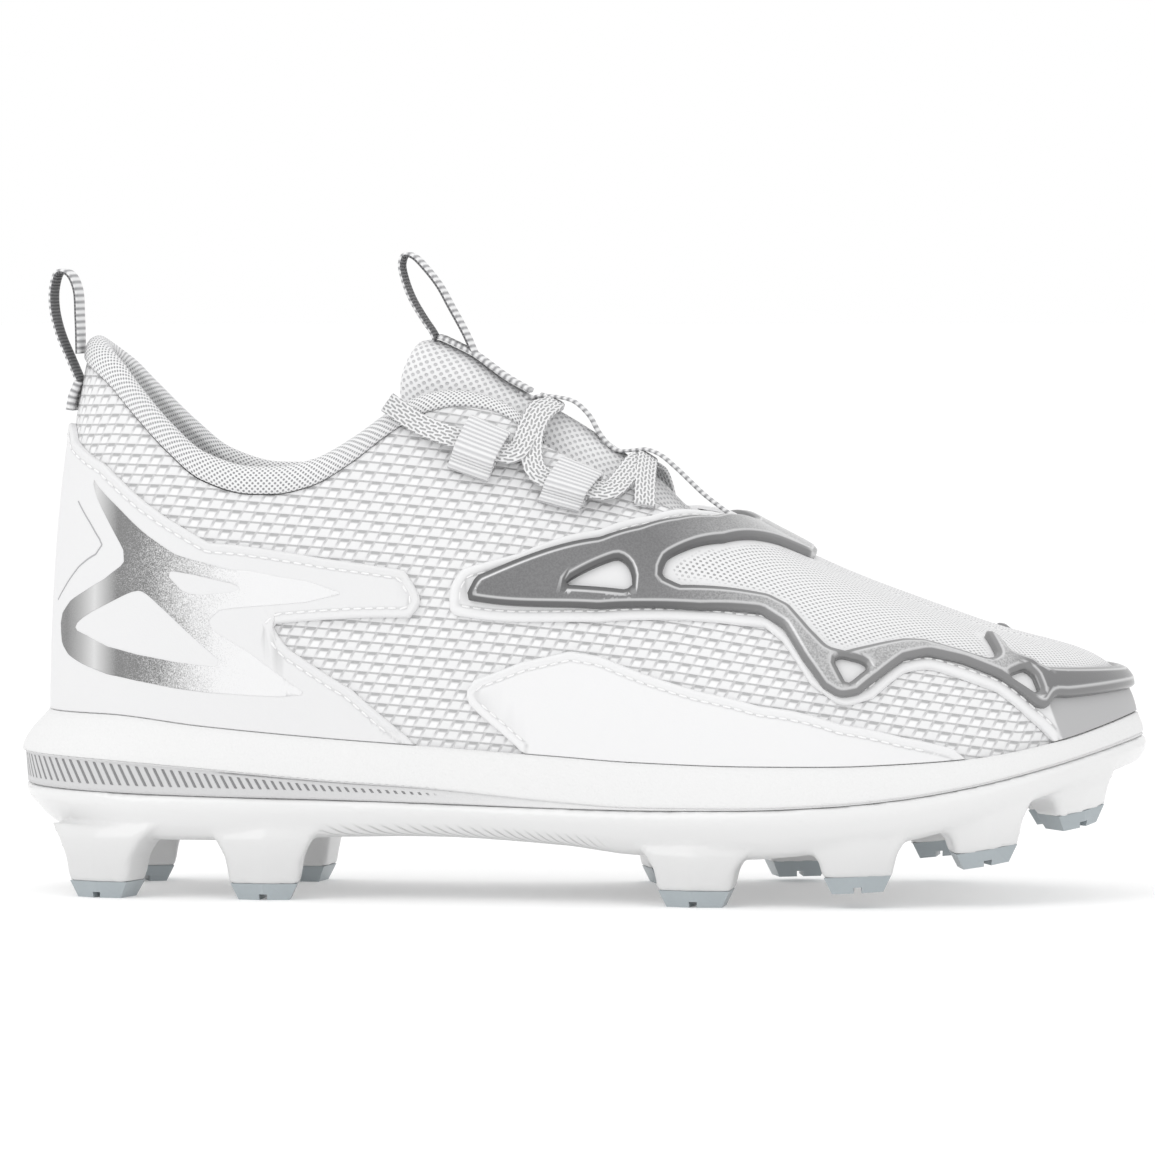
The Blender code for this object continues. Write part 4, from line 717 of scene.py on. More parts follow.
def last_normal(position, side, share):
    """Outward unit normal of the last, at a fractional index of a branch."""
    line = branch(side)
    step, rise = 1.0, 0.004
    position = np.asarray(position, float)
    share = np.broadcast_to(np.asarray(share, float), position.shape)
    before = spot_on(line, np.clip(position - step, 0, len(line) - 1))
    after = spot_on(line, np.clip(position + step, 0, len(line) - 1))
    low, high = np.clip(share - rise, 0, 1 - rise), np.clip(share + rise, rise, 1)
    here = spot_on(line, position)
    along = last_point(after, np.minimum(share, 0.995)) - last_point(before, np.minimum(share, 0.995))
    upward = last_point(here, high) - last_point(here, low)
    normal = np.cross(along, upward) * (1.0 if side < 0 else -1.0)
    crest_x, _, crest_z = crest_of(here[..., 0])
    ahead_x, _, ahead_z = crest_of(here[..., 0] + 0.001)
    ridge = np.stack([crest_z - ahead_z, 0 * crest_z, ahead_x - crest_x], -1)
    ridge /= np.linalg.norm(ridge, axis=-1, keepdims=True)
    normal /= np.linalg.norm(normal, axis=-1, keepdims=True).clip(1e-12)
    blend = np.clip((share - RIDGE_START) / (1 - RIDGE_START), 0, 1)[..., None]
    normal = normal * (1 - blend) + ridge * blend
    return normal / np.linalg.norm(normal, axis=-1, keepdims=True)


def from_pattern(points):
    """Where points of the flattened pattern (x, y) lie: branch index, side and share of the way up."""
    points = np.atleast_2d(np.array(points, float))
    position, side = np.zeros(len(points)), np.ones(len(points))
    found = np.full(len(points), np.inf)
    for sign in (-1, 1):
        line = branch(sign)
        crest_x, crest_y, _ = crest_of(line[:, 0])
        crest = np.stack([crest_x, crest_y], -1)
        out = line - crest
        for start in range(0, len(points), BLOCK):
            block = points[start : start + BLOCK]
            to = block[:, None] - crest[None]
            turn = out[:, 0] * to[..., 1] - out[:, 1] * to[..., 0]
            facing = (out * to).sum(-1)
            ahead = (facing[:, :-1] > -1e-9) | (facing[:, 1:] > -1e-9)
            who, k = np.nonzero((turn[:, :-1] * turn[:, 1:] <= 0) & ahead)
            span = turn[who, k] - turn[who, k + 1]
            part = np.where(span == 0, 0.0, turn[who, k] / np.where(span == 0, 1.0, span))[:, None]
            reach = np.linalg.norm(out[k] * (1 - part) + out[k + 1] * part, axis=1)
            gone = np.linalg.norm(to[who, k] * (1 - part) + to[who, k + 1] * part, axis=1)
            part = part[:, 0]
            good = facing[who, k] * (1 - part) + facing[who, k + 1] * part >= -1e-9
            order = np.nonzero(good)[0]
            order = order[np.argsort(-(gone / reach)[order])]
            ratio = np.full(len(block), np.inf)
            place = np.zeros(len(block))
            ratio[who[order]] = (gone / reach)[order]
            place[who[order]] = (k + part)[order]
            better = np.nonzero(ratio <= found[start : start + len(block)] + 1e-6)[0]
            found[start + better] = ratio[better]
            position[start + better] = place[better]
            side[start + better] = sign
    share = np.where(np.isfinite(found), 1 - found / PATTERN_STRETCH, 0.0).clip(0.0)
    return position, side, share


def placed(pattern, lift):
    """Points of the flattened pattern set on the last, lift metres out from it."""
    position, side, share = from_pattern(pattern)
    made = np.zeros((len(position), 3))
    normals = np.zeros((len(position), 3))
    for sign in (-1, 1):
        pick = side == sign
        if pick.any():
            feather = spot_on(branch(sign), position[pick])
            normals[pick] = last_normal(position[pick], sign, share[pick])
            made[pick] = last_point(feather, share[pick])
    lift = np.broadcast_to(np.asarray(lift, float), (len(made),))
    return made + normals * lift[:, None], normals


def pattern_point(position, side, share):
    """Where a place of the last lies on the flattened pattern."""
    feather = spot_on(branch(side), position)
    crest_x, crest_y, _ = crest_of(feather[..., 0])
    crest = np.stack([crest_x, crest_y], -1)
    return crest + (feather - crest) * PATTERN_STRETCH * (1 - np.asarray(share)[..., None])


def seat_share(position, side):
    """How far up the last the midsole's rim ends, as a share, with a gap above it."""
    x = spot_on(branch(side), position)[..., 0]
    foot = sole_level(x, TOP) - TUCK
    _, _, crest_z = crest_of(x)
    rise = (TUCK + SEAT_GAP) / (crest_z - foot)
    return np.arcsin(rise ** (1 / eased(FULLNESS, x / LENGTH + 0.5, 3))) * 2 / math.pi


def seated(loop):
    """The pattern loop with no point below the midsole's rim."""
    position, side, share = from_pattern(loop)
    made = np.array(loop, float)
    for sign in (-1, 1):
        lowest = seat_share(position, sign)
        low = (side == sign) & (share < lowest)
        made[low] = pattern_point(position[low], sign, lowest[low])
    return made


def on_pattern(outline, side):
    """An outline in shares as pattern points; the medial side has it at the same heights of the last."""
    lateral = np.array([(along * LENGTH, -across * BALL_WIDTH) for along, across in outline])
    if side < 0:
        return [tuple(p) for p in lateral]
    position, _, share = from_pattern(lateral)
    x = spot_on(LATERAL, position)[:, 0]
    opposite = np.interp(x, MEDIAL[:, 0], np.arange(len(MEDIAL)))
    return [tuple(p) for p in pattern_point(opposite, 1, share)]


def rounded(corners, radius, steps=2):
    """The polygon with each corner cut to an arc-like curve, its reach limited by the short sides."""
    corners = [np.array(c, float) for c in corners]
    made = []
    for i, here in enumerate(corners):
        before, after = corners[i - 1], corners[(i + 1) % len(corners)]
        back, on = before - here, after - here
        if back @ on / (np.linalg.norm(back) * np.linalg.norm(on)) < STRAIGHT:
            made.append(here)
            continue
        reach = min(radius, CORNER_SHARE * np.linalg.norm(back), CORNER_SHARE * np.linalg.norm(on))
        start = here + back / np.linalg.norm(back) * reach
        end = here + on / np.linalg.norm(on) * reach
        for k in range(steps + 1):
            t = k / steps
            made.append((1 - t) ** 2 * start + 2 * t * (1 - t) * here + t * t * end)
    return made


def inside(points, loop):
    """Even-odd test of points against a closed loop."""
    loop = np.array(loop)
    hit = np.zeros(len(points), bool)
    for a, b in zip(loop, np.roll(loop, -1, axis=0)):
        if a[1] == b[1]:
            continue
        straddles = (a[1] > points[:, 1]) != (b[1] > points[:, 1])
        hit ^= straddles & (points[:, 0] < a[0] + (points[:, 1] - a[1]) * (b[0] - a[0]) / (b[1] - a[1]))
    return hit


def both_sides(half):
    """A half outline from crest to rim on the lateral side, and back along the medial side."""
    lateral = on_pattern(half, -1)
    medial = on_pattern(half, 1)
    return lateral, medial[::-1]


def grid_faces(rows, columns, start=0, wrap=False):
    """Quads of a grid of points stored row by row."""
    across = columns if wrap else columns - 1
    return [
        (
            start + r * columns + c,
            start + r * columns + (c + 1) % columns,
            start + (r + 1) * columns + (c + 1) % columns,
            start + (r + 1) * columns + c,
        )
        for r in range(rows - 1)
        for c in range(across)
    ]


def stop_at(stop, side):
    """A lace's stop on the pattern, in metres."""
    along, across = stop
    return np.array(on_pattern([(along + (MEDIAL_SHIFT if side > 0 else 0.0), across)], side)[0])


def heel_share(height):
    """How far up the last its back reaches a height, as a share."""
    shares = np.linspace(0, 1, HEEL_SAMPLES)
    heights = last_point(np.repeat(LATERAL[:1], HEEL_SAMPLES, axis=0), shares)[:, 2]
    return float(np.interp(height, heights, shares))


def stud_frame(stud):
    """Centre of a stud's tip face, its heading along the sole's edge, and its tilt."""
    _, along, across, _, _, height, tilt, side = stud
    centre = np.array([(along - 0.5) * LENGTH, side * across * BALL_WIDTH])
    ahead, behind = feather_at(np.array([centre[0] + STUD_REACH, centre[0] - STUD_REACH]), side)
    heading = math.atan2(ahead[1] - behind[1], ahead[0] - behind[0])
    return centre, height * SOLE_HEIGHT, heading * STUD_TURN, math.radians(tilt), side


# Fine meshes

def make(name, points, faces, material, uv=None, node=None, slot=None, outward=None, marks=None, more=()):
    """A piece from points and faces, with its UV map, its marks and its ties to the frame."""
    points = np.asarray(points, float)
    faces = [tuple(int(i) for i in f) for f in faces]
    if outward is not None:
        tri = np.array([f[:3] for f in faces])
        flat = np.cross(points[tri[:, 1]] - points[tri[:, 0]], points[tri[:, 2]] - points[tri[:, 0]])
        if (flat * outward[tri[:, 0]]).sum() < 0:
            faces = [f[::-1] for f in faces]
    mesh = bpy.data.meshes.new(name)
    mesh.from_pydata((points + SHIFT).tolist(), [], faces)
    mesh.materials.append(material)
    for other in more:
        mesh.materials.append(other)
    if uv is not None:
        corners = np.empty(len(mesh.loops), np.int32)
        mesh.loops.foreach_get("vertex_index", corners)
        layer = mesh.uv_layers.new(name="UVMap")
        layer.data.foreach_set("uv", np.asarray(uv, np.float32)[corners].ravel())
    for word, values in (marks or {}).items():
        attribute = mesh.attributes.new(word, "FLOAT", "POINT")
        attribute.data.foreach_set("value", np.asarray(values, np.float32))
    mesh.update()
    mesh.shade_smooth()
    obj = bpy.data.objects.new(name, mesh)
    bpy.context.scene.collection.objects.link(obj)
    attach(obj, "root")
    if node:
        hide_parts(*([node] if isinstance(node, str) else node))
    return obj


def run_of(points):
    """Distance run along a line of points."""
    steps = np.linalg.norm(np.diff(points, axis=0), axis=1)
    return np.concatenate([[0.0], np.cumsum(steps)])


def evenly(points, step, closed=True):
    """The line's points again, at even steps."""
    points = np.asarray(points, float)
    if closed:
        points = np.vstack([points, points[:1]])
    run = run_of(points)
    count = max(3, round(run[-1] / step))
    at = np.linspace(0, run[-1], count + 1)
    made = np.stack([np.interp(at, run, points[:, k]) for k in range(points.shape[1])], -1)
    return made[:-1] if closed else made


def nearest(points, targets):
    """Distance from each point to the nearest target."""
    tree = kdtree.KDTree(len(targets))
    for i, target in enumerate(targets):
        tree.insert(target, i)
    tree.balance()
    return np.array([tree.find(point)[2] for point in points])


def dome(distance, height, radius):
    """Height of an edge rounded over radius, at a distance in from it."""
    t = np.clip(distance / radius, 0, 1)
    return height * np.sqrt(1 - (1 - t) ** 2)


def inward(loop):
    """Steps on the pattern, at each point of a closed loop, that lead a metre inwards over the last."""
    ahead = np.roll(loop, -1, axis=0) - np.roll(loop, 1, axis=0)
    side = np.stack([-ahead[:, 1], ahead[:, 0]], -1)
    side /= np.linalg.norm(side, axis=1, keepdims=True).clip(1e-9)
    x, y = loop[:, 0], loop[:, 1]
    turn = (x * np.roll(y, -1) - y * np.roll(x, -1)).sum()
    side *= 1 if turn > 0 else -1
    moved = placed(loop + side * RATE_STEP, 0.0)[0] - placed(loop, 0.0)[0]
    rate = np.linalg.norm(moved, axis=1) / RATE_STEP
    return side / rate.clip(*RATE_LIMITS)[:, None]


def gap_to(points, border):
    """Distance on the pattern from each point to the nearest border point."""
    made = np.full(len(points), np.inf)
    for start in range(0, len(points), BLOCK):
        block = points[start : start + BLOCK]
        made[start : start + BLOCK] = np.linalg.norm(block[:, None] - border[None], axis=-1).min(1)
    return made


def fine_triangles(outline, holes, step):
    """Triangles over an outline with holes, closer together by its edges."""
    loops = [seated(evenly(loop, RIM_STEP)) for loop in [outline, *holes]]
    border = np.concatenate(loops)
    inner, reach = [], []
    for k, loop in enumerate(loops):
        steps = inward(loop) * (1 if k == 0 else -1)
        for row in EDGE_ROWS:
            inner.append(loop + steps * row)
            reach.append(np.linalg.norm(steps, axis=1) * row)
    low, high = loops[0].min(0), loops[0].max(0)
    xs = np.arange(low[0] + step / 2, high[0], step)
    ys = np.arange(low[1] + step / 2, high[1], step * STAGGER)
    inner.append(np.array([(x + (j % 2) * step / 2, y) for j, y in enumerate(ys) for x in xs]))
    reach.append(np.full(len(inner[-1]), EDGE_ROWS[-1]))
    free, reach = np.concatenate(inner), np.concatenate(reach)
    keep = inside(free, loops[0])
    for hole in loops[1:]:
        keep &= ~inside(free, hole)
    free, reach = free[keep], reach[keep]
    free = free[gap_to(free, border) > CLEAR_SHARE * reach]
    edges, start = [], 0
    for loop in loops:
        count = len(loop)
        edges += [(start + i, start + (i + 1) % count) for i in range(count)]
        start += count
    points = [tuple(p) for p in np.concatenate([border, free])]
    flat, _, faces, _, _, _ = delaunay_2d_cdt(points, edges, [], 0, 1e-9)
    flat = np.array([tuple(p) for p in flat])
    faces = np.array([tuple(f) for f in faces])
    middles = flat[faces].mean(1)
    kept = inside(middles, loops[0])
    for hole in loops[1:]:
        kept &= ~inside(middles, hole)
    return flat, faces[kept], loops


def skin_patch(name, outline, holes, material, foot, profile, corner=CORNER, skirt=SKIRT, marks=None, **ties):
    """A piece of skin on the last. Its height over the foot offset follows the distance from its edge."""
    outline = rounded(outline, corner, 6)
    holes = [rounded(hole, corner * 0.5, 5) for hole in holes]
    flat, faces, loops = fine_triangles(outline, holes, PATCH_STEP)
    base, normals = placed(flat, 0.0)
    rim = placed(np.concatenate([evenly(loop, RIM_SAMPLE) for loop in loops]), 0.0)[0]
    rim = rim[rim[:, 2] > sole_level(rim[:, 0], TOP) + FOOT_HEIGHT]
    depth = nearest(base, rim)
    found = {word: rule(depth, flat) for word, rule in (marks or {}).items()}
    top = base + normals * (foot + profile(depth, flat))[:, None]
    points, solid = [top], [tuple(f) for f in faces]
    uv = [flat]
    count = len(flat)
    known = {(a, b) for f in faces for a, b in zip(f, np.roll(f, -1))}
    border = [e for e in known if (e[1], e[0]) not in known]
    edge = sorted({i for e in border for i in e})
    order = {v: count + k for k, v in enumerate(edge)}
    points.append(base[edge] + normals[edge] * (foot - skirt))
    uv.append(flat[edge])
    solid += [(b, a, order[a], order[b]) for a, b in border]
    marks = {word: np.concatenate([values, values[edge]]) for word, values in found.items()}
    return make(name, np.concatenate(points), solid, material, np.concatenate(uv), marks=marks,
                outward=np.concatenate([normals, normals[edge]]), **ties)


def ring_lines():
    """The feather line as one closed loop from the toe along the lateral side, and its outward normals."""
    ring = np.vstack([LATERAL[::-1], MEDIAL[1:-1]])
    ring = evenly(ring, RING_STEP)
    ahead = np.roll(ring, -3, axis=0) - np.roll(ring, 3, axis=0)
    normal = np.stack([-ahead[:, 1], ahead[:, 0]], -1)
    normal /= np.linalg.norm(normal, axis=1, keepdims=True)
    if ((ring - ring.mean(0)) * normal).sum() < 0:
        normal = -normal
    return ring, normal


RING, RING_NORMAL = ring_lines()
RING_X = RING[:, 0]


def level(first, second=None, part=0.0, rise=0.0):
    """Heights along the ring: a level of the sole, or part of the way from it to a second one."""
    height = sole_level(RING_X, first)
    if second is not None:
        height = height * (1 - part) + sole_level(RING_X, second) * part
    return height + rise


def ring_at(distance, height):
    """The ring moved outwards by a distance, at a height."""
    return np.column_stack([RING + RING_NORMAL * np.broadcast_to(distance, len(RING))[:, None], height])


def tape_grid_faces(rows, columns):
    """Faces of a band whose first and last rows of points meet, with both ends closed."""
    ends = [tuple(r * columns for r in range(rows - 1))]
    ends.append(tuple(r * columns + columns - 1 for r in range(rows - 1))[::-1])
    return grid_faces(rows, columns) + ends


def ribbon(name, path, normals, width, wall, material, node, slot, more=()):
    """A flat band with rounded edges along a path; normals point away from what it lies on."""
    path, normals = np.asarray(path, float), np.asarray(normals, float)
    ahead = np.gradient(path, axis=0)
    across = np.cross(normals, ahead)
    across /= np.linalg.norm(across, axis=1, keepdims=True)
    normals = np.cross(ahead, across)
    normals /= np.linalg.norm(normals, axis=1, keepdims=True)
    half, thick = width / 2, wall / 2
    top = [*TAPE_EDGE] + [(-u, v) for u, v in TAPE_EDGE[-2::-1]]
    section = top + [(u, -v) for u, v in top[-2:0:-1]]
    section += section[:1]
    grid = np.stack([path + across * u * half + normals * v * thick for u, v in section], 0)
    around = run_of(np.array([(u * half, v * thick) for u, v in section])) - half
    uv = np.stack(np.meshgrid(around, run_of(path), indexing="ij"), -1).reshape(-1, 2)
    rows, columns = grid.shape[:2]
    outward = np.stack([normals * v + across * u for u, v in section], 0).reshape(-1, 3)
    faces = tape_grid_faces(rows, columns)
    obj = make(name, grid.reshape(-1, 3), faces, material, uv, outward=outward, node=node, slot=slot,
               more=more)
    if more:
        inner = [int(i // (columns - 1) >= len(top) - 2) for i in range(len(faces) - 2)]
        obj.data.polygons.foreach_set("material_index", np.array(inner + [0, 0], np.int32))
    return obj


def stitches(name, lines, material, length=STITCH_LENGTH, pitch=STITCH_PITCH, width=STITCH_WIDTH, **ties):
    """Rows of short rounded stitches along lines of points with their normals."""
    ring = np.linspace(0, 2 * math.pi, STITCH_ROUND, endpoint=False)
    block = len(STITCH_SHAPE) * STITCH_ROUND
    spots, outward = [], []
    for points, normals in lines:
        run = run_of(points)
        at = np.arange(pitch / 2, run[-1] - pitch / 2, pitch)

        def along(values, shift=0.0):
            return np.stack([np.interp(at + shift, run, values[:, k]) for k in range(3)], -1)

        middle, up = along(points), along(normals)
        ahead = along(points, length / 2) - along(points, -length / 2)
        across = np.cross(up, ahead)
        across /= np.linalg.norm(across, axis=1, keepdims=True)
        up /= np.linalg.norm(up, axis=1, keepdims=True)
        found = []
        for place, size in STITCH_SHAPE:
            for angle in ring:
                side = across * math.cos(angle) + up * math.sin(angle) * STITCH_FLATNESS
                found.append(ahead * place + side * width / 2 * size)
        found = np.stack(found, 1)
        outward.append(found.reshape(-1, 3))
        spots.append((middle[:, None] + found).reshape(-1, 3))
    points = np.concatenate(spots)
    faces = []
    for start in range(0, len(points), block):
        last = start + block - STITCH_ROUND
        faces += grid_faces(len(STITCH_SHAPE), STITCH_ROUND, start, True)
        faces.append(tuple(range(start, start + STITCH_ROUND))[::-1])
        faces.append(tuple(range(last, last + STITCH_ROUND)))
    uv = np.stack([points[:, 0], points[:, 2]], -1)
    return make(name, points, faces, material, uv, outward=np.concatenate(outward), **ties)


def seam_lines(outline, distance, lift, corner=CORNER):
    """Lines at a distance in from a patch's edge, clear of its corners and of the sole."""
    loop = evenly(seated(evenly(rounded(outline, corner, 6), RIM_STEP)), SEAM_STEP)
    x, y = loop[:, 0], loop[:, 1]
    turn = 1 if (x * np.roll(y, -1) - y * np.roll(x, -1)).sum() > 0 else -1
    rim, normals = placed(loop, 0.0)
    ahead = np.roll(rim, -1, axis=0) - np.roll(rim, 1, axis=0)
    inward = np.cross(normals, ahead) * turn
    inward /= np.linalg.norm(inward, axis=1, keepdims=True).clip(1e-9)
    moved = rim + inward * distance
    good = nearest(moved, rim) > SEAM_CLEAR * distance
    good &= rim[:, 2] > sole_level(rim[:, 0], TOP) + FOOT_HEIGHT
    first = int(np.nonzero(~good)[0][0]) if (~good).any() else 0
    order = np.roll(np.arange(len(loop)), -first)
    lines, line = [], []
    for i in order:
        if good[i] and (not line or np.linalg.norm(moved[i] - moved[line[-1]]) < SEAM_BREAK):
            line.append(i)
        elif good[i]:
            lines.append(line)
            line = [i]
    lines.append(line)
    made = []
    for line in lines:
        if len(line) < SEAM_SHORTEST:
            continue
        points = moved[line] + normals[line] * lift
        for _ in range(4):
            points[1:-1] = points[1:-1] * 0.5 + (points[:-2] + points[2:]) * 0.25
        made.append((points, normals[line]))
    return made


# Materials

def grey(value, cool=0.0):
    """A grey, with a little more blue where cool is given."""
    return (value, value, value + cool)


class Wiring:
    """A material's node tree, with short calls for the nodes that the patterns need."""

    def __init__(self, name, colour, roughness, **sockets):
        self.material = bpy.data.materials.new(name)
        self.material.use_nodes = True
        self.tree = self.material.node_tree
        self.shader = self.tree.nodes["Principled BSDF"]
        self.colour(colour)
        self.put(self.shader.inputs["Roughness"], roughness)
        for word, value in sockets.items():
            self.put(self.shader.inputs[word.replace("_", " ")], value)

    def put(self, socket, value):
        """Link a socket's value, or set it; a colour of three numbers gets its alpha."""
        if isinstance(value, bpy.types.NodeSocket):
            self.tree.links.new(value, socket)
        elif isinstance(value, tuple) and len(value) == 3:
            socket.default_value = (*value, 1.0)
        else:
            socket.default_value = value

    def node(self, kind):
        return self.tree.nodes.new("ShaderNode" + kind)

    def math(self, kind, first, second=0.0, third=0.0):
        node = self.node("Math")
        node.operation = kind
        for socket, value in zip(node.inputs, (first, second, third)):
            self.put(socket, value)
        return node.outputs[0]

    def times(self, first, *others):
        for other in others:
            first = self.math("MULTIPLY", first, other)
        return first

    def plus(self, first, *others):
        for other in others:
            first = self.math("ADD", first, other)
        return first

    def minus(self, first, second):
        return self.math("SUBTRACT", first, second)

    def fraction(self, value):
        return self.math("FRACT", value)

    def length(self, first, second):
        return self.math("SQRT", self.plus(self.times(first, first), self.times(second, second)))

    def between(self, value, low, high, start=0.0, end=1.0):
        """Smooth step of a value from low to high."""
        node = self.node("MapRange")
        node.interpolation_type = "SMOOTHSTEP"
        given = {"Value": value, "From Min": low, "From Max": high, "To Min": start, "To Max": end}
        for word, number in given.items():
            self.put(node.inputs[word], number)
        return node.outputs[0]

    def window(self, value, start, full, fading, end):
        """Rises from start to full, and falls from fading to end."""
        return self.times(self.between(value, start, full), self.between(value, end, fading))

    def uv(self):
        """The UV map's two numbers, in millimetres."""
        node = self.node("UVMap")
        node.uv_map = "UVMap"
        return self.split(node.outputs[0])

    def place(self):
        """The place in the model's frame, in millimetres."""
        return self.split(self.node("TexCoord").outputs["Object"])

    def split(self, vector, scale=1000.0):
        node = self.node("SeparateXYZ")
        self.put(node.inputs[0], vector)
        return [self.times(out, scale) for out in node.outputs]

    def mark(self, name):
        """A number that the mesh holds at each point."""
        node = self.node("Attribute")
        node.attribute_name = name
        return node.outputs["Fac"]

    def noise(self, scale, detail=2.0, roughness=0.5):
        node = self.node("TexNoise")
        self.put(node.inputs["Vector"], self.node("TexCoord").outputs["Object"])
        self.put(node.inputs["Scale"], scale)
        self.put(node.inputs["Detail"], detail)
        self.put(node.inputs["Roughness"], roughness)
        return node.outputs["Fac"]

    def mix(self, share, first, second):
        """Two colours mixed by a share."""
        node = self.node("Mix")
        node.data_type = "RGBA"
        for socket, value in ((0, share), (6, first), (7, second)):
            self.put(node.inputs[socket], value)
        return node.outputs[2]

    def colour(self, value):
        self.put(self.shader.inputs["Base Color"], value)

    def bump(self, height, depth, strength=1.0, before=None):
        """Relief of a height from 0 to 1, depth metres deep."""
        node = self.node("Bump")
        self.put(node.inputs["Strength"], strength)
        self.put(node.inputs["Distance"], depth)
        self.put(node.inputs["Height"], height)
        if before is not None:
            self.put(node.inputs["Normal"], before)
        self.put(self.shader.inputs["Normal"], node.outputs[0])
        return node.outputs[0]


def knit():
    """White basket weave: slanted blocks in rows, each second one raised, with painted shade over each block,
    in the slits and at each row's foot, and a painted highlight on the raised blocks.
    """
    row_height, block_pair, row_shift, lean = 2.27, 5.4, 1.57, -1.15
    m = Wiring("knit", grey(0.8), 0.8, Sheen_Weight=0.1)
    u, v, _ = m.uv()
    row = m.times(v, 1 / row_height)
    within = m.fraction(row)
    moved = m.math("MULTIPLY_ADD", m.math("FLOOR", row), row_shift, u)
    pair = m.fraction(m.times(m.math("MULTIPLY_ADD", within, lean, moved), 1 / block_pair))
    tall = m.window(pair, 0.01, 0.09, 0.37, 0.45)
    wide = m.window(pair, 0.46, 0.54, 0.91, 0.99)
    # Painted shade: the arch over each raised block, the line over each flat one, the slits and the foot of
    # each row
    arch = m.times(tall, m.between(within, 0.62, 0.84))
    line = m.times(wide, m.between(within, 0.80, 0.93))
    slit_shade = m.times(m.minus(1.0, m.plus(tall, wide)), m.between(within, 0.05, 0.60, 0.15, 0.62))
    foot = m.between(within, 0.12, 0.0, 0.0, 0.16)
    low = m.math("MINIMUM", m.plus(arch, m.times(line, 0.80), slit_shade, foot), 1.0)
    # Painted highlight: the lower part of each raised block is lighter
    painted_highlight = m.times(tall, m.between(within, 0.75, 0.45))
    weave = m.mix(painted_highlight, grey(0.79, 0.005), grey(0.85, 0.005))
    m.colour(m.mix(low, weave, grey(0.43, 0.005)))
    m.bump(m.plus(m.times(m.minus(1.0, low), 0.8), m.times(painted_highlight, 0.2)), 0.0006, 0.7)
    return m.material


def dotted(name, base, hole_shade, pitch, size, roughness, depth):
    """Mesh with small openings in staggered rows, dark with painted shade in them."""
    m = Wiring(name, base, roughness, Sheen_Weight=0.15)
    u, v, _ = m.uv()
    row = m.times(v, 2 / pitch)
    along = m.plus(m.times(u, 1 / pitch), m.times(m.math("FLOOR", row), 0.5))
    a = m.minus(m.fraction(along), 0.5)
    b = m.times(m.minus(m.fraction(row), 0.5), 0.5)
    solid = m.between(m.length(a, b), size * 0.5, size)
    # The openings' dark grey is painted shade in the holes
    m.colour(m.mix(solid, hole_shade, base))
    m.bump(solid, depth, 0.7)
    return m.material


def film(name, base, roughness=0.5):
    """Smooth film with a grey line of painted shade under its stitches."""
    m = Wiring(name, base, roughness)
    # The groove mark carries painted shade along the stitch line
    m.colour(m.mix(m.mark("groove"), base, grey(0.58, 0.005)))
    m.bump(m.noise(2600.0, 1.0), 0.00003, 0.5)
    return m.material


def webbing(name, low, high, pitch=0.8):
    """Ribs across a tape."""
    m = Wiring(name, grey(0.8), 0.8, Sheen_Weight=0.15)
    _, v, _ = m.uv()
    rib = m.window(m.fraction(m.times(v, 1 / pitch)), 0.0, 0.4, 0.6, 1.0)
    m.colour(m.mix(rib, low, high))
    m.bump(rib, 0.00022, 0.9)
    return m.material


def braid():
    """Flat braid: slanted dashes of painted shade between the cords, turned the other way in each next lane.
    """
    lane_width, dash_pitch, lean = 0.85, 1.9, 0.45
    m = Wiring("lace", grey(0.85), 0.8, Sheen_Weight=0.1)
    u, v, _ = m.uv()
    place = m.times(u, 1 / lane_width)
    lane = m.math("FLOOR", place)
    odd = m.math("PINGPONG", lane, 1.0)
    wave = m.fraction(m.math("MULTIPLY_ADD", v, 1 / dash_pitch, m.times(lane, 0.5)))
    slant = m.times(m.math("MULTIPLY_ADD", odd, 2 * lean, -lean), m.minus(wave, 0.5))
    off = m.math("ABSOLUTE", m.minus(m.minus(m.minus(place, lane), 0.5), slant))
    dash_shade = m.times(m.between(off, 0.30, 0.12), m.window(wave, 0.05, 0.15, 0.78, 0.90))
    # The dashes' dark grey is painted shade between the cords
    m.colour(m.mix(dash_shade, grey(0.82, 0.005), grey(0.42, 0.005)))
    m.bump(m.minus(1.0, dash_shade), 0.0004, 0.9)
    return m.material


def foam():
    """White midsole foam, stippled, with a greyer band, most at the heel, that slanted slots with painted
    shade in them run along.
    """
    slot_pitch, lean = 1.85, -1.70
    m = Wiring("midsole_foam", grey(0.82), 0.62)
    u, _, _ = m.uv()
    x, _, _ = m.place()
    up = m.mark("up")
    wave = m.fraction(m.plus(m.times(u, 1 / slot_pitch), m.times(up, lean)))
    tall = m.between(x, -25.0, -118.0, 0.04, 0.32)
    far = m.math("ABSOLUTE", m.minus(up, 0.54))
    within = m.between(m.minus(far, tall), 0.04, 0.0)
    slot = m.times(m.window(wave, 0.30, 0.38, 0.60, 0.68), within, m.mark("ribbed"))
    band = m.times(m.mark("band"), m.between(x, 5.0, -60.0, 0.35, 1.0))
    body = m.mix(band, grey(0.775), grey(0.60, 0.005))
    # The slots' dark grey is painted shade in them
    m.colour(m.mix(slot, body, grey(0.24, 0.005)))
    stipple = m.bump(m.noise(1500.0, 1.5), 0.0002, 0.7)
    m.bump(m.minus(1.0, slot), 0.0005, 0.9, stipple)
    return m.material


def moulded(name, base, roughness, coat):
    """Moulded plastic with a faint grain under a clear skin."""
    m = Wiring(name, base, roughness, Coat_Weight=coat, Coat_Roughness=0.15)
    return m, m.bump(m.noise(900.0, 1.0), 0.00002, 0.4)


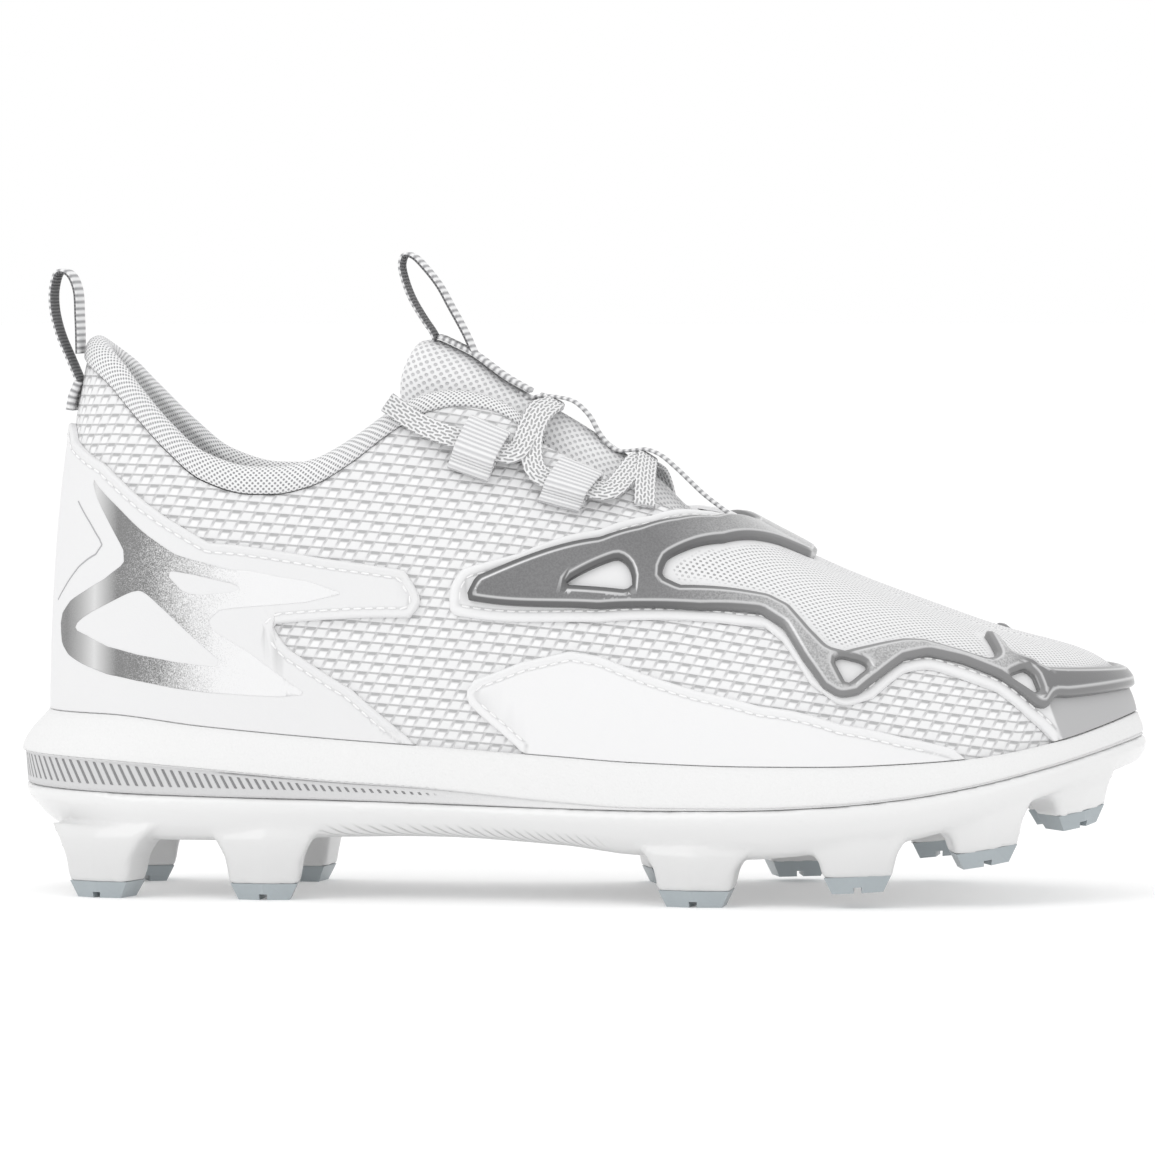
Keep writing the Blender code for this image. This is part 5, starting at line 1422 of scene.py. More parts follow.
def plate():
    """The white plate, with painted shade that makes it darker low down, and fine slanted grooves under the
    arch with painted shade in them.
    """
    groove_pitch, lean = 1.1, -0.30
    base = 0.77
    m, grain = moulded("white_plate", grey(base), 0.32, 0.4)
    x, y, z = m.place()
    _, _, facing = m.split(m.node("NewGeometry").outputs["Normal"], 1.0)
    arch = m.window(x, -60.0, -52.0, 4.0, 12.0)
    wave = m.fraction(m.times(m.plus(y, m.times(x, lean)), 1 / groove_pitch))
    groove = m.times(m.window(wave, 0.0, 0.15, 0.25, 0.40), m.between(facing, -0.35, -0.60), arch)
    # Painted shade: darker towards the bottom of the plate
    body = m.mix(m.between(z, 26.0, 6.0), grey(base), grey(base * 0.86))
    # Painted shade in the grooves under the arch
    m.colour(m.mix(groove, body, grey(base * 0.68)))
    m.bump(m.minus(1.0, groove), 0.0002, 0.6, grain)
    return m.material


def silver():
    """Satin silver paint: darker towards the instep, lighter and more grained towards the toe, with a painted
    highlight along the crease and painted shade on the bevel's slope.
    """
    m = Wiring("silver_paint", grey(0.3), 0.30, Metallic=0.35, Coat_Weight=0.5, Coat_Roughness=0.12)
    x, _, z = m.place()
    grain = m.between(m.noise(2200.0, 2.0, 0.7), 0.35, 0.65)
    light = m.between(x, 18.0, 52.0)
    dark = m.mix(grain, grey(0.150, 0.003), grey(0.185, 0.003))
    pale = m.mix(grain, grey(0.31, 0.003), grey(0.50, 0.003))
    body = m.mix(light, dark, pale)
    bumper = m.times(m.between(x, 98.0, 104.0), m.between(z, 62.0, 55.0))
    body = m.mix(bumper, body, grey(0.17, 0.003))
    # Painted shade on the bevel's slope
    body = m.mix(m.mark("slope"), body, m.mix(light, grey(0.105, 0.002), grey(0.21, 0.002)))
    # Painted highlight along the crease
    m.colour(m.mix(m.mark("crease_highlight"), body, grey(0.60, 0.005)))
    m.bump(grain, 0.00003, 0.4)
    return m.material


def perforated():
    """White film with rows of small holes where the mark says so, painted shade in the holes and along the
    seam groove, and a grey guard round the toe.
    """
    hole_pitch, row_pitch = 1.4, 1.1
    m = Wiring("vamp_film", grey(0.79), 0.5)
    u, v, _ = m.uv()
    x, _, z = m.place()
    row = m.times(v, PATTERN_RATE / row_pitch)
    along = m.math("MULTIPLY_ADD", u, 1 / hole_pitch, m.times(m.math("FLOOR", row), 0.5))
    a = m.times(m.minus(m.fraction(along), 0.5), hole_pitch)
    b = m.times(m.minus(m.fraction(row), 0.5), row_pitch)
    hole = m.times(m.between(m.length(a, b), 0.36, 0.22), m.mark("field"))
    guard = m.between(m.math("MULTIPLY_ADD", z, 0.375, x), 124.4, 125.0)
    guard = m.times(guard, m.between(z, 53.0, 51.5))
    body = m.mix(guard, grey(0.79, 0.005), grey(0.44, 0.005))
    # Painted shade along the seam groove
    body = m.mix(m.mark("groove"), body, grey(0.50, 0.005))
    # The holes' dark grey is painted shade in them
    m.colour(m.mix(hole, body, grey(0.38, 0.005)))
    m.bump(m.minus(1.0, hole), 0.0004, 0.8)
    return m.material


def printed():
    """Silver print on the heel film that breaks up into white grain towards the arch."""
    m = Wiring("heel_print", grey(0.4), 0.38, Metallic=0.15)
    x, _, _ = m.place()
    grain = m.between(m.noise(3600.0, 2.0, 0.8), 0.35, 0.65)
    cloud = m.times(m.noise(90.0, 2.0), 16.0)
    fade = m.between(m.plus(x, m.math("MULTIPLY_ADD", grain, 14.0, cloud)), -84.0, -62.0)
    ramp = m.node("ValToRGB")
    m.put(ramp.inputs[0], m.math("MULTIPLY_ADD", x, 1 / PRINT_SPAN, -PRINT_START / PRINT_SPAN))
    while len(ramp.color_ramp.elements) < len(PRINT_STOPS):
        ramp.color_ramp.elements.new(0.5)
    for element, (at, tone) in zip(ramp.color_ramp.elements, PRINT_STOPS):
        element.position = at
        element.color = (*grey(tone), 1.0)
    body = m.mix(m.times(grain, 0.22), ramp.outputs[0], grey(0.5, 0.005))
    m.colour(m.mix(fade, body, grey(0.80, 0.005)))
    m.bump(grain, 0.00003, 0.4)
    return m.material


def cloth(name, colour):
    """Plain cloth or thread."""
    m = Wiring(name, colour, 0.85, Sheen_Weight=0.2)
    m.bump(m.noise(1700.0, 1.0), 0.00012, 0.5)
    return m.material


KNIT = knit()
# The lining's grey, darker than the collar's, is painted shade deep inside the shoe
SHADED_LINING_CLOTH = dotted("shaded_lining_mesh", grey(0.56, 0.01), grey(0.26, 0.01), 1.4, 0.24, 0.85, 0.0003)
COLLAR_MESH = dotted("collar_mesh", grey(0.82, 0.005), grey(0.30, 0.01), 1.27, 0.26, 0.8, 0.0004)
TONGUE_MESH = dotted("tongue_mesh", grey(0.82, 0.005), grey(0.56, 0.01), 1.96, 0.25, 0.8, 0.0004)
FILM_WHITE = film("white_film", grey(0.79, 0.005))
COUNTER_FILM = film("counter_film", grey(0.75, 0.005), 0.45)
VAMP = perforated()
SILVER = silver()
HEEL_PRINT = printed()
WEBBING = webbing("webbing", grey(0.58, 0.01), grey(0.82, 0.005))
STRIPED = webbing("striped_webbing", grey(0.30, 0.01), grey(0.80, 0.005), 1.5)
GREY_WEBBING = webbing("grey_webbing", grey(0.09, 0.005), grey(0.22, 0.005))
BRAID = braid()
FOAM = foam()
PLATE = plate()
TIP = moulded("stud_tip", (0.37, 0.41, 0.43), 0.42, 0.15)[0].material
INSOLE = cloth("insole_cloth", grey(0.70, 0.01))
THREAD = cloth("thread", grey(0.86))
GREY_THREAD = cloth("grey_thread", grey(0.42, 0.01))


# The upper's shell

def opening_at(x):
    return eased(OPENING, x / LENGTH + 0.5)


def paired_columns(step):
    """Columns round the shoe from the toe along the lateral side and back: (branch index, side) arrays."""
    run = run_of(LATERAL)
    at = np.linspace(0, run[-1], round(run[-1] / step) + 1)
    near = np.interp(at, run, np.arange(len(LATERAL)))
    x = spot_on(LATERAL, near)[:, 0]
    far = np.interp(x, MEDIAL[:, 0], np.arange(len(MEDIAL)))
    index = np.concatenate([near[::-1], far[1:-1]])
    side = np.concatenate([-np.ones(len(near)), np.ones(len(far) - 2)])
    return index, side


def on_last(index, side, share):
    """Points and normals of the last for arrays of places."""
    points, normals = np.zeros((len(index), 3)), np.zeros((len(index), 3))
    for sign in (-1, 1):
        pick = side == sign
        points[pick] = last_point(spot_on(branch(sign), index[pick]), share[pick])
        normals[pick] = last_normal(index[pick], sign, share[pick])
    return points, normals


def build_upper():
    index, side = paired_columns(UPPER_STEP)
    count = len(index)
    feathers = np.where((side < 0)[:, None], spot_on(LATERAL, index), spot_on(MEDIAL, index))
    x = feathers[:, 0]
    edge = opening_at(x)
    outer, inner = [], []
    for k in range(UPPER_ROWS + 1):
        points, normals = on_last(index, side, edge * k / UPPER_ROWS)
        outer.append(points)
        inner.append(points - normals * WALL)
    lip_points, lip_normals = on_last(index, side, edge)
    turn = [lip_points - lip_normals * WALL * part for part in (0.25, 0.75)]
    arc = run_of(np.vstack([feathers, feathers[:1]]))[:-1]
    lining = inner[::-LINING_ROWS]
    grid = np.stack(outer + turn + lining)
    climb = np.concatenate([[0 * arc], np.cumsum(np.linalg.norm(np.diff(grid, axis=0), axis=2), axis=0)])
    heel = arc[side < 0].max()
    u = np.where(side < 0, -arc, arc - 2 * heel)[None] + grid[..., 0] - x[None]
    rise = np.interp(x / LENGTH + 0.5, column(ROW_LINE, 0), column(ROW_LINE, 1)) / 1000
    v = climb + (sole_level(x, TOP) - TUCK)[None] - rise[None]
    faces = grid_faces(len(grid), count, 0, True)
    way = np.concatenate([np.ones(len(outer) + len(turn)), -np.ones(len(lining))])
    outward = (way[:, None, None] * lip_normals[None]).reshape(-1, 3)
    obj = make("knit_upper", grid.reshape(-1, 3), faces, KNIT, np.stack([u, v], -1).reshape(-1, 2),
               outward=outward, node="upper", slot="knit", more=[SHADED_LINING_CLOTH])
    lined = [int(i // count >= len(outer)) for i in range(len(faces))]
    obj.data.polygons.foreach_set("material_index", np.array(lined, np.int32))


# Overlays on the upper

def toe_arc(share):
    """Points round the front of the toe on the pattern, from the lateral to the medial side."""
    made = []
    for side in (-1, 1):
        line = branch(side)
        x = line[:, 0]
        front = np.nonzero(x > (TOE_ARC_START - 0.5) * LENGTH)[0]
        front = np.linspace(front[0], len(line) - 1, TOE_ARC_POINTS)
        points = [tuple(p) for p in pattern_point(front, side, np.full(len(front), share))]
        made += points if side < 0 else points[::-1][1:]
    return made


def film_edge(depth, flat):
    """A raised bead along the edge, with the film a little lower inside it."""
    return dome(depth, FILM, BEAD_ROUND) - BEAD * np.clip((depth - BEAD_WIDTH) / BEAD_SLOPE, 0, 1)


def flat_film(depth, flat):
    """No relief: the print lies flat on its film."""
    return 0.0 * depth


def bell(value, middle, width):
    return np.exp(-(((value - middle) / width) ** 2))


def seam_shade(depth, flat):
    """The grey line of painted shade that the stitches lie in."""
    return bell(depth, STITCH_INSET, SEAM_WIDTH)


def unbent(line, closed=True, parts=5):
    """A line of the pattern with more points, its edges straight over the last and not over the pattern."""
    line = np.array(line, float)
    position, side, share = from_pattern(line)
    made = []
    for i in range(len(line) if closed else len(line) - 1):
        j = (i + 1) % len(line)
        part = np.arange(parts)[:, None] / parts
        if side[i] == side[j] and share[i] > 0 and share[j] > 0:
            ends = np.array([(position[i], share[i]), (position[j], share[j])])
            spots = ends[:1] * (1 - part) + ends[1:] * part
            made.append(pattern_point(spots[:, 0], side[i], spots[:, 1]))
        else:
            made.append(line[i] * (1 - part) + line[j] * part)
    if not closed:
        made.append(line[-1:])
    return np.concatenate(made)


def build_counter():
    lateral, medial = both_sides(COUNTER)
    top, *foot = [tuple(p) for p in on_pattern([COUNTER_TOP, *COUNTER_FOOT], -1)]
    outline = unbent(rounded(lateral[::-1] + [top] + medial[::-1] + foot, COUNTER_CORNER, 5))
    ties = {"node": "heel_counter", "slot": "counter_film"}
    skin_patch("heel_counter_film", outline, [], COUNTER_FILM, OVERLAY_GAP, film_edge, corner=SMALLEST_CORNER,
               marks={"groove": seam_shade}, **ties)
    surface = OVERLAY_GAP + FILM - BEAD
    lines = seam_lines(outline, STITCH_INSET, surface + THREAD_LIFT, SMALLEST_CORNER)
    stitches("heel_counter_stitches", lines, THREAD, **ties)
    for side, word in SIDES:
        shapes = [on_pattern(shape, side) for shape in (PRINT, WINDOW_LOW, WINDOW_HIGH)]
        outline, *windows = [unbent(rounded(shape, PRINT_CORNER, 3)) for shape in shapes]
        skin_patch("heel_print_" + word, outline, windows, HEEL_PRINT, surface + PRINT_LIFT, flat_film,
                   corner=PRINT_RIM_CORNER, skirt=PRINT_SKIRT, **ties)
        path = curve_through(unbent(on_pattern(HEEL_LINE, side), False), False, 3)
        stitches("heel_line_" + word, [placed(path, surface)], GREY_THREAD, *HEEL_LINE_STITCH, **ties)


def build_side_panel(side, word):
    ties = {"node": "side_panel_" + word, "slot": "panel_film"}
    outline = rounded(on_pattern(SIDE_PANEL, side), PANEL_CORNER, 5)
    skin_patch("side_panel_film_" + word, outline, [], FILM_WHITE, OVERLAY_GAP, film_edge,
               marks={"groove": seam_shade}, **ties)
    lines = seam_lines(outline, STITCH_INSET, OVERLAY_GAP + FILM - BEAD + THREAD_LIFT)
    stitches("side_panel_stitches_" + word, lines, THREAD, **ties)


def frame_loops():
    lateral, medial = both_sides(FRAME_OUTER)
    inner_lateral, inner_medial = both_sides(FRAME_INNER)
    outline = lateral + toe_arc(BUMPER_FOOT) + medial
    field = inner_lateral[::-1] + toe_arc(BUMPER_TOP) + inner_medial[::-1]
    windows = []
    for window in (REAR_WINDOW, MIDDLE_WINDOW, FRONT_WINDOW):
        windows += [on_pattern(window, -1), on_pattern(window, 1)]
    return outline, field, windows


def build_vamp():
    lateral, medial = both_sides(VAMP_SIDE)
    outline = lateral + toe_arc(0.0) + medial
    _, field, _ = frame_loops()
    loop = evenly(rounded(field, FRAME_CORNER, 4), FIELD_STEP)

    def in_field(depth, flat):
        share = np.clip((gap_to(flat, loop) - FIELD_INSET) / FIELD_FADE, 0, 1)
        return np.where(inside(flat, loop), share, 0.0)

    # Where the painted shade along the seam groove lies
    def groove(depth, flat):
        return bell(depth, GROOVE_INSET, GROOVE_WIDTH)

    def border(depth, flat):
        return dome(depth, FILM, VAMP_ROUND) - BEAD * bell(depth, GROOVE_INSET, GROOVE_REACH)

    ties = {"node": "vamp_overlay", "slot": "vamp_film"}
    marks = {"field": in_field, "groove": groove}
    skin_patch("vamp_film", outline, [], VAMP, OVERLAY_GAP, border, marks=marks, **ties)
    lines = seam_lines(outline, GROOVE_INSET, OVERLAY_GAP + FILM - BEAD)
    stitches("vamp_stitches", lines, THREAD, **ties)


def build_frame():
    outline, field, windows = frame_loops()

    def height(depth, flat):
        slope = np.clip((depth - CREASE_INSET * 2) / BEVEL, 0, 1)
        return FRAME_WALL * (dome(depth, FRAME_STEP_SHARE, FRAME_STEP) + (1 - FRAME_STEP_SHARE) * slope)

    # Mark of the painted highlight along the crease
    def crease_highlight(depth, flat):
        return bell(depth, BEVEL + CREASE_INSET, CREASE_WIDTH)

    # Mark of the painted shade on the bevel's slope
    def slope(depth, flat):
        return np.clip((BEVEL - depth) / FRAME_STEP, 0, 1)

    skin_patch("silver_frame", outline, [field, *windows], SILVER, 2 * OVERLAY_GAP + FILM, height,
               corner=FRAME_CORNER, skirt=OVERLAY_GAP - THREAD_LIFT, marks={"crease_highlight": crease_highlight, "slope": slope},
               node="moulded_frame", slot="silver_frame")


# Collar and tongue

def collar_section(along):
    """The collar's section: metres up from the opening's edge and out from the wall's outer face."""
    tall, thick = float(eased(COLLAR_TAPER, along)), float(eased(COLLAR_TAPER, along, 2))
    height, pad, drop = COLLAR_ROLL * tall, COLLAR_PAD * thick, COLLAR_DROP * thick
    inner, lining = WALL + SKIN_GAP, LINING * thick
    back = -max(pad * COLLAR_INSIDE, inner + lining)
    spots = [(GAP, -inner * 0.5)]
    spots += [(up * height, out * pad) for up, out in COLLAR_CROWN]
    spots += [(0.70 * height, back * 0.95), (0.44 * height, back), (-0.60 * height, back)]
    spots += [(-drop * 0.9, -inner - lining), (-drop, -inner - lining * 0.5), (-drop * 0.9, -inner)]
    spots.append((GAP, -inner))
    return curve_through(spots, False, 4)


def build_collar():
    end = (COLLAR_END - 0.5) * LENGTH
    index, sides = [], []
    for side in (-1, 1):
        line = branch(side)
        last = np.interp(end, line[:, 0], np.arange(len(line)))
        run = run_of(line[: int(last) + 2])
        reach = np.interp(last, np.arange(len(run)), run)
        at = np.interp(np.linspace(0, reach, round(reach / COLLAR_STEP) + 1), run, np.arange(len(run)))
        at = at[::-1] if side < 0 else at[1:]
        index.append(at)
        sides.append(np.full(len(at), side))
    index, sides = np.concatenate(index), np.concatenate(sides)
    feathers = np.where((sides < 0)[:, None], spot_on(LATERAL, index), spot_on(MEDIAL, index))
    edge = opening_at(feathers[:, 0])
    below = on_last(index, sides, edge - SHARE_STEP)[0]
    rate = np.linalg.norm(on_last(index, sides, edge)[0] - below, axis=1) / SHARE_STEP
    sections = np.array([collar_section(along) for along in feathers[:, 0] / LENGTH + 0.5])
    rows, wide = sections.shape[:2]
    grid = np.zeros((rows, wide, 3))
    for k in range(wide):
        share = np.minimum(edge + sections[:, k, 0] / rate, SHARE_END)
        points, away = on_last(index, sides, share)
        grid[:, k] = points + away * sections[:, k, 1:]
    run = run_of(grid[:, wide // 3 + 1])
    outward = grid - grid.mean(1)[:, None]
    uv = [np.column_stack([np.full(wide, at), run_of(section)]) for section, at in zip(sections, run)]
    faces = grid_faces(rows, wide, 0, True)
    faces += [tuple(range(wide)), tuple(range((rows - 1) * wide, rows * wide))[::-1]]
    obj = make("collar_roll", grid.reshape(-1, 3), faces, COLLAR_MESH, np.concatenate(uv),
               outward=outward.reshape(-1, 3), node="collar", slot="collar_mesh")


def tongue_points(along, across, depth=0.0):
    """Points of the tongue: along the shoe, across from -1 (lateral) to 1, depth below its outer face."""
    along, across = np.broadcast_arrays(np.asarray(along, float), np.asarray(across, float))
    shape = along.shape
    along, across = along.ravel(), across.ravel()
    depth = np.broadcast_to(depth, shape).ravel()
    half, middle, edge = (eased(TONGUE, along, k) for k in (1, 2, 3))
    middle = middle - TONGUE_SINK * eased(SINK_SPAN, along)
    bend = across**2 / (across**2 + TONGUE_BEND * (1 - across**2))
    fade = np.clip(1 - (along - TONGUE_SWEEP_END) / TONGUE_SWEEP_FADE, 0, 1)
    place = along - TONGUE_SWEEP * across**2 * fade
    # The crest over a column lies elsewhere along the shoe, so the column is chosen for its crest
    share = (place - CREST[0][0]) / (CREST[-1][0] - CREST[0][0])
    x = HEEL_X + share * (TOE_X - HEEL_X)
    side = np.where(across > 0, 1, -1)
    index = np.where(side < 0, np.interp(x, LATERAL[:, 0], np.arange(len(LATERAL))),
                     np.interp(x, MEDIAL[:, 0], np.arange(len(MEDIAL))))
    points, normals = on_last(index, side, 1 - abs(across) * half)
    lift = middle + (edge - middle) * bend - depth
    return (points + normals * lift[:, None]).reshape(*shape, 3)


def build_tongue():
    first, last = TONGUE[0][0], TONGUE[-1][0]
    rows, wide = TONGUE_GRID
    shift = rows * wide
    alongs = last + (first - last) * (1 - np.cos(np.linspace(0, math.pi, rows))) / 2
    acrosses = np.sin(np.linspace(-math.pi / 2, math.pi / 2, wide))
    row, across = np.meshgrid(alongs, acrosses, indexing="ij")
    along = row + TONGUE_ROUND * across**4 * (last - row) / (last - first)
    round_end = np.minimum(1.0, TONGUE_END_WALL + (row - first) / TONGUE_END)
    wall = TONGUE_WALL * (1 - TONGUE_THINNING * across**2) * round_end
    side_edge = np.clip((abs(across) - 1 + TONGUE_SIDE_ROUND) / TONGUE_SIDE_ROUND, 0, 1)
    end_edge = np.clip((first + TONGUE_END_ROUND - row) / TONGUE_END_ROUND, 0, 1)
    full = np.sqrt((1 - side_edge**2) * (1 - end_edge**2))
    outer = tongue_points(along, across, wall / 2 * (1 - full))
    inner = tongue_points(along, across, wall / 2 * (1 + full))
    points = np.concatenate([outer.reshape(-1, 3), inner.reshape(-1, 3)])
    outward = np.concatenate([(outer - inner).reshape(-1, 3), (inner - outer).reshape(-1, 3)])
    faces = grid_faces(rows, wide)
    faces += [tuple(i + shift for i in f[::-1]) for f in faces]
    rim = list(range(wide)) + [r * wide + wide - 1 for r in range(1, rows)]
    rim += [shift - 1 - c for c in range(1, wide)] + [r * wide for r in range(rows - 2, 0, -1)]
    faces += [(b, a, shift + a, shift + b) for a, b in zip(rim, rim[1:] + rim[:1])]
    run = run_of(outer[:, wide // 2])
    climb = np.cumsum(np.linalg.norm(np.diff(outer, axis=1), axis=2), 1)
    u = np.concatenate([np.zeros((rows, 1)), climb], 1)
    uv = np.stack([u, np.repeat(run[:, None], wide, 1)], -1).reshape(-1, 2)
    obj = make("tongue_pad", points, faces, TONGUE_MESH, np.concatenate([uv, uv]), outward=outward,
               node="tongue", slot="tongue_mesh")


# Laces and webbing

def lace_route(side):
    """Pattern points and lifts of the strand that starts in the hole on this side."""
    seat = SKIN_GAP + STRAND_WALL / 2
    in_keeper = KEEPER_GAP + KEEPER_WALL + LACE_CLEARANCE + LACE_WALL / 2
    half = np.array([KEEPER_WIDTH * 0.5, 0.0])
    start = stop_at(LACE_HOLE, side)
    route = [(*start, seat)]
    above = STRAND_STEP if side < 0 else -STRAND_STEP
    for keeper, ahead in ((FRONT_KEEPER, 0.0), (REAR_KEEPER, CROSSING_AHEAD)):
        side = -side
        middle = stop_at(keeper, side)
        end = middle + LACE_TURN * half
        for part, lift in LACE_ARCH:
            over = float(bell(part, 0.5, CROSSING_WIDTH))
            spot = start + (end - start) * part + np.array([ahead * over, 0.0])
            route.append((*spot, seat + STRAND_OVER * lift + above * over))
        above = -above
        route += [(*(middle + half * part), in_keeper) for part in (LACE_STRAIGHT, 0.0, -LACE_STRAIGHT)]
        start = middle - LACE_TURN * half
    tuck = stop_at(STRAND_END, side)
    for part, lift in LACE_END:
        route.append((*(start + (tuck - start) * part), seat + TUCK_OVER * lift))
    return np.array(route)


def build_laces():
    for side, word in SIDES:
        path = curve_through(lace_route(side), False, 12)
        source, away = placed(path[:, :2], path[:, 2])
        run = run_of(source)
        middles = evenly(source, LACE_STEP, False)
        at = np.linspace(0, run[-1], len(middles))
        normals = np.stack([np.interp(at, run, away[:, k]) for k in range(3)], -1)
        for _ in range(6):
            for line in (middles, normals):
                line[1:-1] = line[1:-1] * 0.5 + (line[:-2] + line[2:]) * 0.25
        ribbon("lace_" + word, middles, normals, LACE_WIDTH, STRAND_WALL, BRAID, "laces", "lace")


def keeper_line():
    """The keeper's fold seen from the side: metres towards the throat and metres out from the last."""
    reach = LACE_WIDTH / 2 + LACE_CLEARANCE
    low = KEEPER_GAP + KEEPER_WALL / 2
    high = low + KEEPER_WALL + 2 * LACE_CLEARANCE + LACE_WALL
    bend, middle = (high - low) / 2, (low + high) / 2
    tail, turn = KEEPER_TAIL - KEEPER_SHORTER, reach - KEEPER_TURN_START
    line = [(-tail, low), (-reach, low), (0.0, low), (turn, low)]
    for angle in np.linspace(-1.2, 1.2, 7):
        line.append((turn + 0.0002 + bend * math.cos(angle), middle + bend * math.sin(angle)))
    line += [(turn, high), (0.0, high), (-reach * 0.8, high - 0.0001)]
    line += [(-reach * 1.25, low + KEEPER_WALL + KEEPER_LAP), (-tail, low + KEEPER_WALL)]
    return evenly(curve_through(line, False, 6), KEEPER_STEP, False)


def build_keeper(name, stop, side):
    middle = stop_at(stop, side)
    line = keeper_line()
    ahead = np.gradient(line, axis=0)
    out = np.stack([-ahead[:, 1], ahead[:, 0]], -1)
    out /= -np.linalg.norm(out, axis=1, keepdims=True)
    _, crest_y, _ = crest_of(np.array(middle[0]))
    to_throat = np.array([0.0, crest_y - middle[1]])
    to_throat /= abs(to_throat[1]) * PATTERN_RATE
    slant = np.array([KEEPER_SLANT, 0.0])
    section = [*KEEPER_EDGE] + [(-u, -v) for u, v in KEEPER_EDGE] + [KEEPER_EDGE[0]]
    grid = []
    for u, v in section:
        shift = u * KEEPER_WIDTH / 2 * np.array([1.0, side * KEEPER_TURN])
        spots = line + out * v * KEEPER_WALL / 2
        pattern = middle + shift + (to_throat + slant) * spots[:, :1]
        grid.append(placed(pattern, spots[:, 1])[0])
    grid = np.array(grid)
    across = column(section, 0) * KEEPER_WIDTH / 2
    uv = np.stack(np.meshgrid(across, run_of(line), indexing="ij"), -1)
    faces = tape_grid_faces(*grid.shape[:2])
    outward = (grid - grid[:-1].mean(0)[None]).reshape(-1, 3)
    make(name + "_tape", grid.reshape(-1, 3), faces, WEBBING, uv.reshape(-1, 2), outward=outward, node=name,
         slot="webbing")


def planar(path, y=0.0):
    return np.column_stack([path[:, 0], np.full(len(path), y), path[:, 1]])


def facing(path):
    """Unit normals to the left of a path in the X, Z plane."""
    ahead = np.gradient(path, axis=0)
    left = np.stack([-ahead[:, 1], ahead[:, 0]], -1)
    return planar(left / np.linalg.norm(left, axis=1, keepdims=True))


def tape(name, points, steps, width, wall, node, step=TAPE_STEP, more=()):
    """A striped tape along a smooth path in the middle plane."""
    path = evenly(curve_through(points, False, steps), step, False)
    ribbon(name, planar(path), facing(path), width, wall, STRIPED, node, "webbing", more)


def build_heel_loop():
    loop = [(along * LENGTH, height * COLLAR_HEIGHT) for along, height in HEEL_LOOP]
    back = []
    for height in np.linspace(HEEL_TAPE_FOOT, HEEL_LOOP[0][1] - HEEL_TAPE_LAP / 2, 6):
        share = heel_share(height * COLLAR_HEIGHT)
        point = last_point(LATERAL[0], np.array(share))
        normal = last_normal(np.array([0]), -1, np.array([share]))[0]
        back.append((point + normal * (SKIN_GAP + DOUBLE_TAPE / 2))[[0, 2]])
    tape("heel_loop_tape", loop, 12, HEEL_TAPE_WIDTH, TAPE_WALL, "heel_loop", more=[GREY_WEBBING])
    tape("heel_loop_foot", back + loop[:1], 6, HEEL_TAPE_WIDTH, DOUBLE_TAPE, "heel_loop")


def build_tongue_loop():
    table = (TONGUE_LOOP_START, *TONGUE_LOOP, TONGUE_LOOP_END)
    loop = [(along * LENGTH, height * COLLAR_HEIGHT) for along, height in table]
    alongs = np.linspace(0.5 + TONGUE_LOOP[0][0], TONGUE_TAPE_FRONT, 24)
    foot = tongue_points(alongs, 0.0, -GAP - TAPE_WALL / 2)[:, [0, 2]]
    tape("tongue_loop_tape", loop, 12, TONGUE_TAPE_WIDTH, TAPE_WALL, "tongue_loop", more=[GREY_WEBBING])
    tape("tongue_loop_foot", foot, 3, TONGUE_TAPE_WIDTH, TAPE_WALL, "tongue_loop", TAPE_FOOT_STEP)
    tape("throat_tape", THROAT_TAPE, 8, THROAT_TAPE_WIDTH, THROAT_TAPE_WALL, "tongue_loop")


# Sole

def cap(ring, upward):
    """Faces across a closed ring of points, as seen from above."""
    flat = [Vector((p[0], p[1])) for p in ring]
    edges = [(i, (i + 1) % len(flat)) for i in range(len(flat))]
    _, _, faces, origin, _, _ = delaunay_2d_cdt(flat, edges, [], 1, 1e-9)
    made = [tuple(origin[i][0] for i in f) for f in faces]
    return made if upward else [f[::-1] for f in made]


def rings_piece(name, rings, material, marks=None, **ties):
    """A closed solid from level rings round the shoe, from its top down."""
    count = len(RING)
    grid = np.stack(rings)
    faces = grid_faces(len(rings), count, 0, True)
    floor = [tuple(i + (len(rings) - 1) * count for i in f) for f in cap(rings[-1], False)]
    side = np.repeat(np.column_stack([RING_NORMAL, 0 * RING_X])[None], len(rings), 0)
    arc = run_of(np.vstack([RING, RING[:1]]))[:-1]
    climb = np.concatenate([[0 * arc], np.cumsum(np.linalg.norm(np.diff(grid, axis=0), axis=2), axis=0)])
    uv = np.stack([np.repeat(arc[None], len(rings), 0), climb], -1)
    found = {word: np.concatenate(values) for word, values in (marks or {}).items()}
    obj = make(name, grid.reshape(-1, 3), faces, material, uv.reshape(-1, 2), outward=side.reshape(-1, 3),
               marks=found, **ties)
    build = bmesh.new()
    build.from_mesh(obj.data)
    build.verts.ensure_lookup_table()
    for face in cap(rings[0], True) + floor:
        build.faces.new([build.verts[i] for i in face])
    bmesh.ops.recalc_face_normals(build, faces=build.faces)
    build.to_mesh(obj.data)
    build.free()
    obj.data.shade_smooth()
    return obj


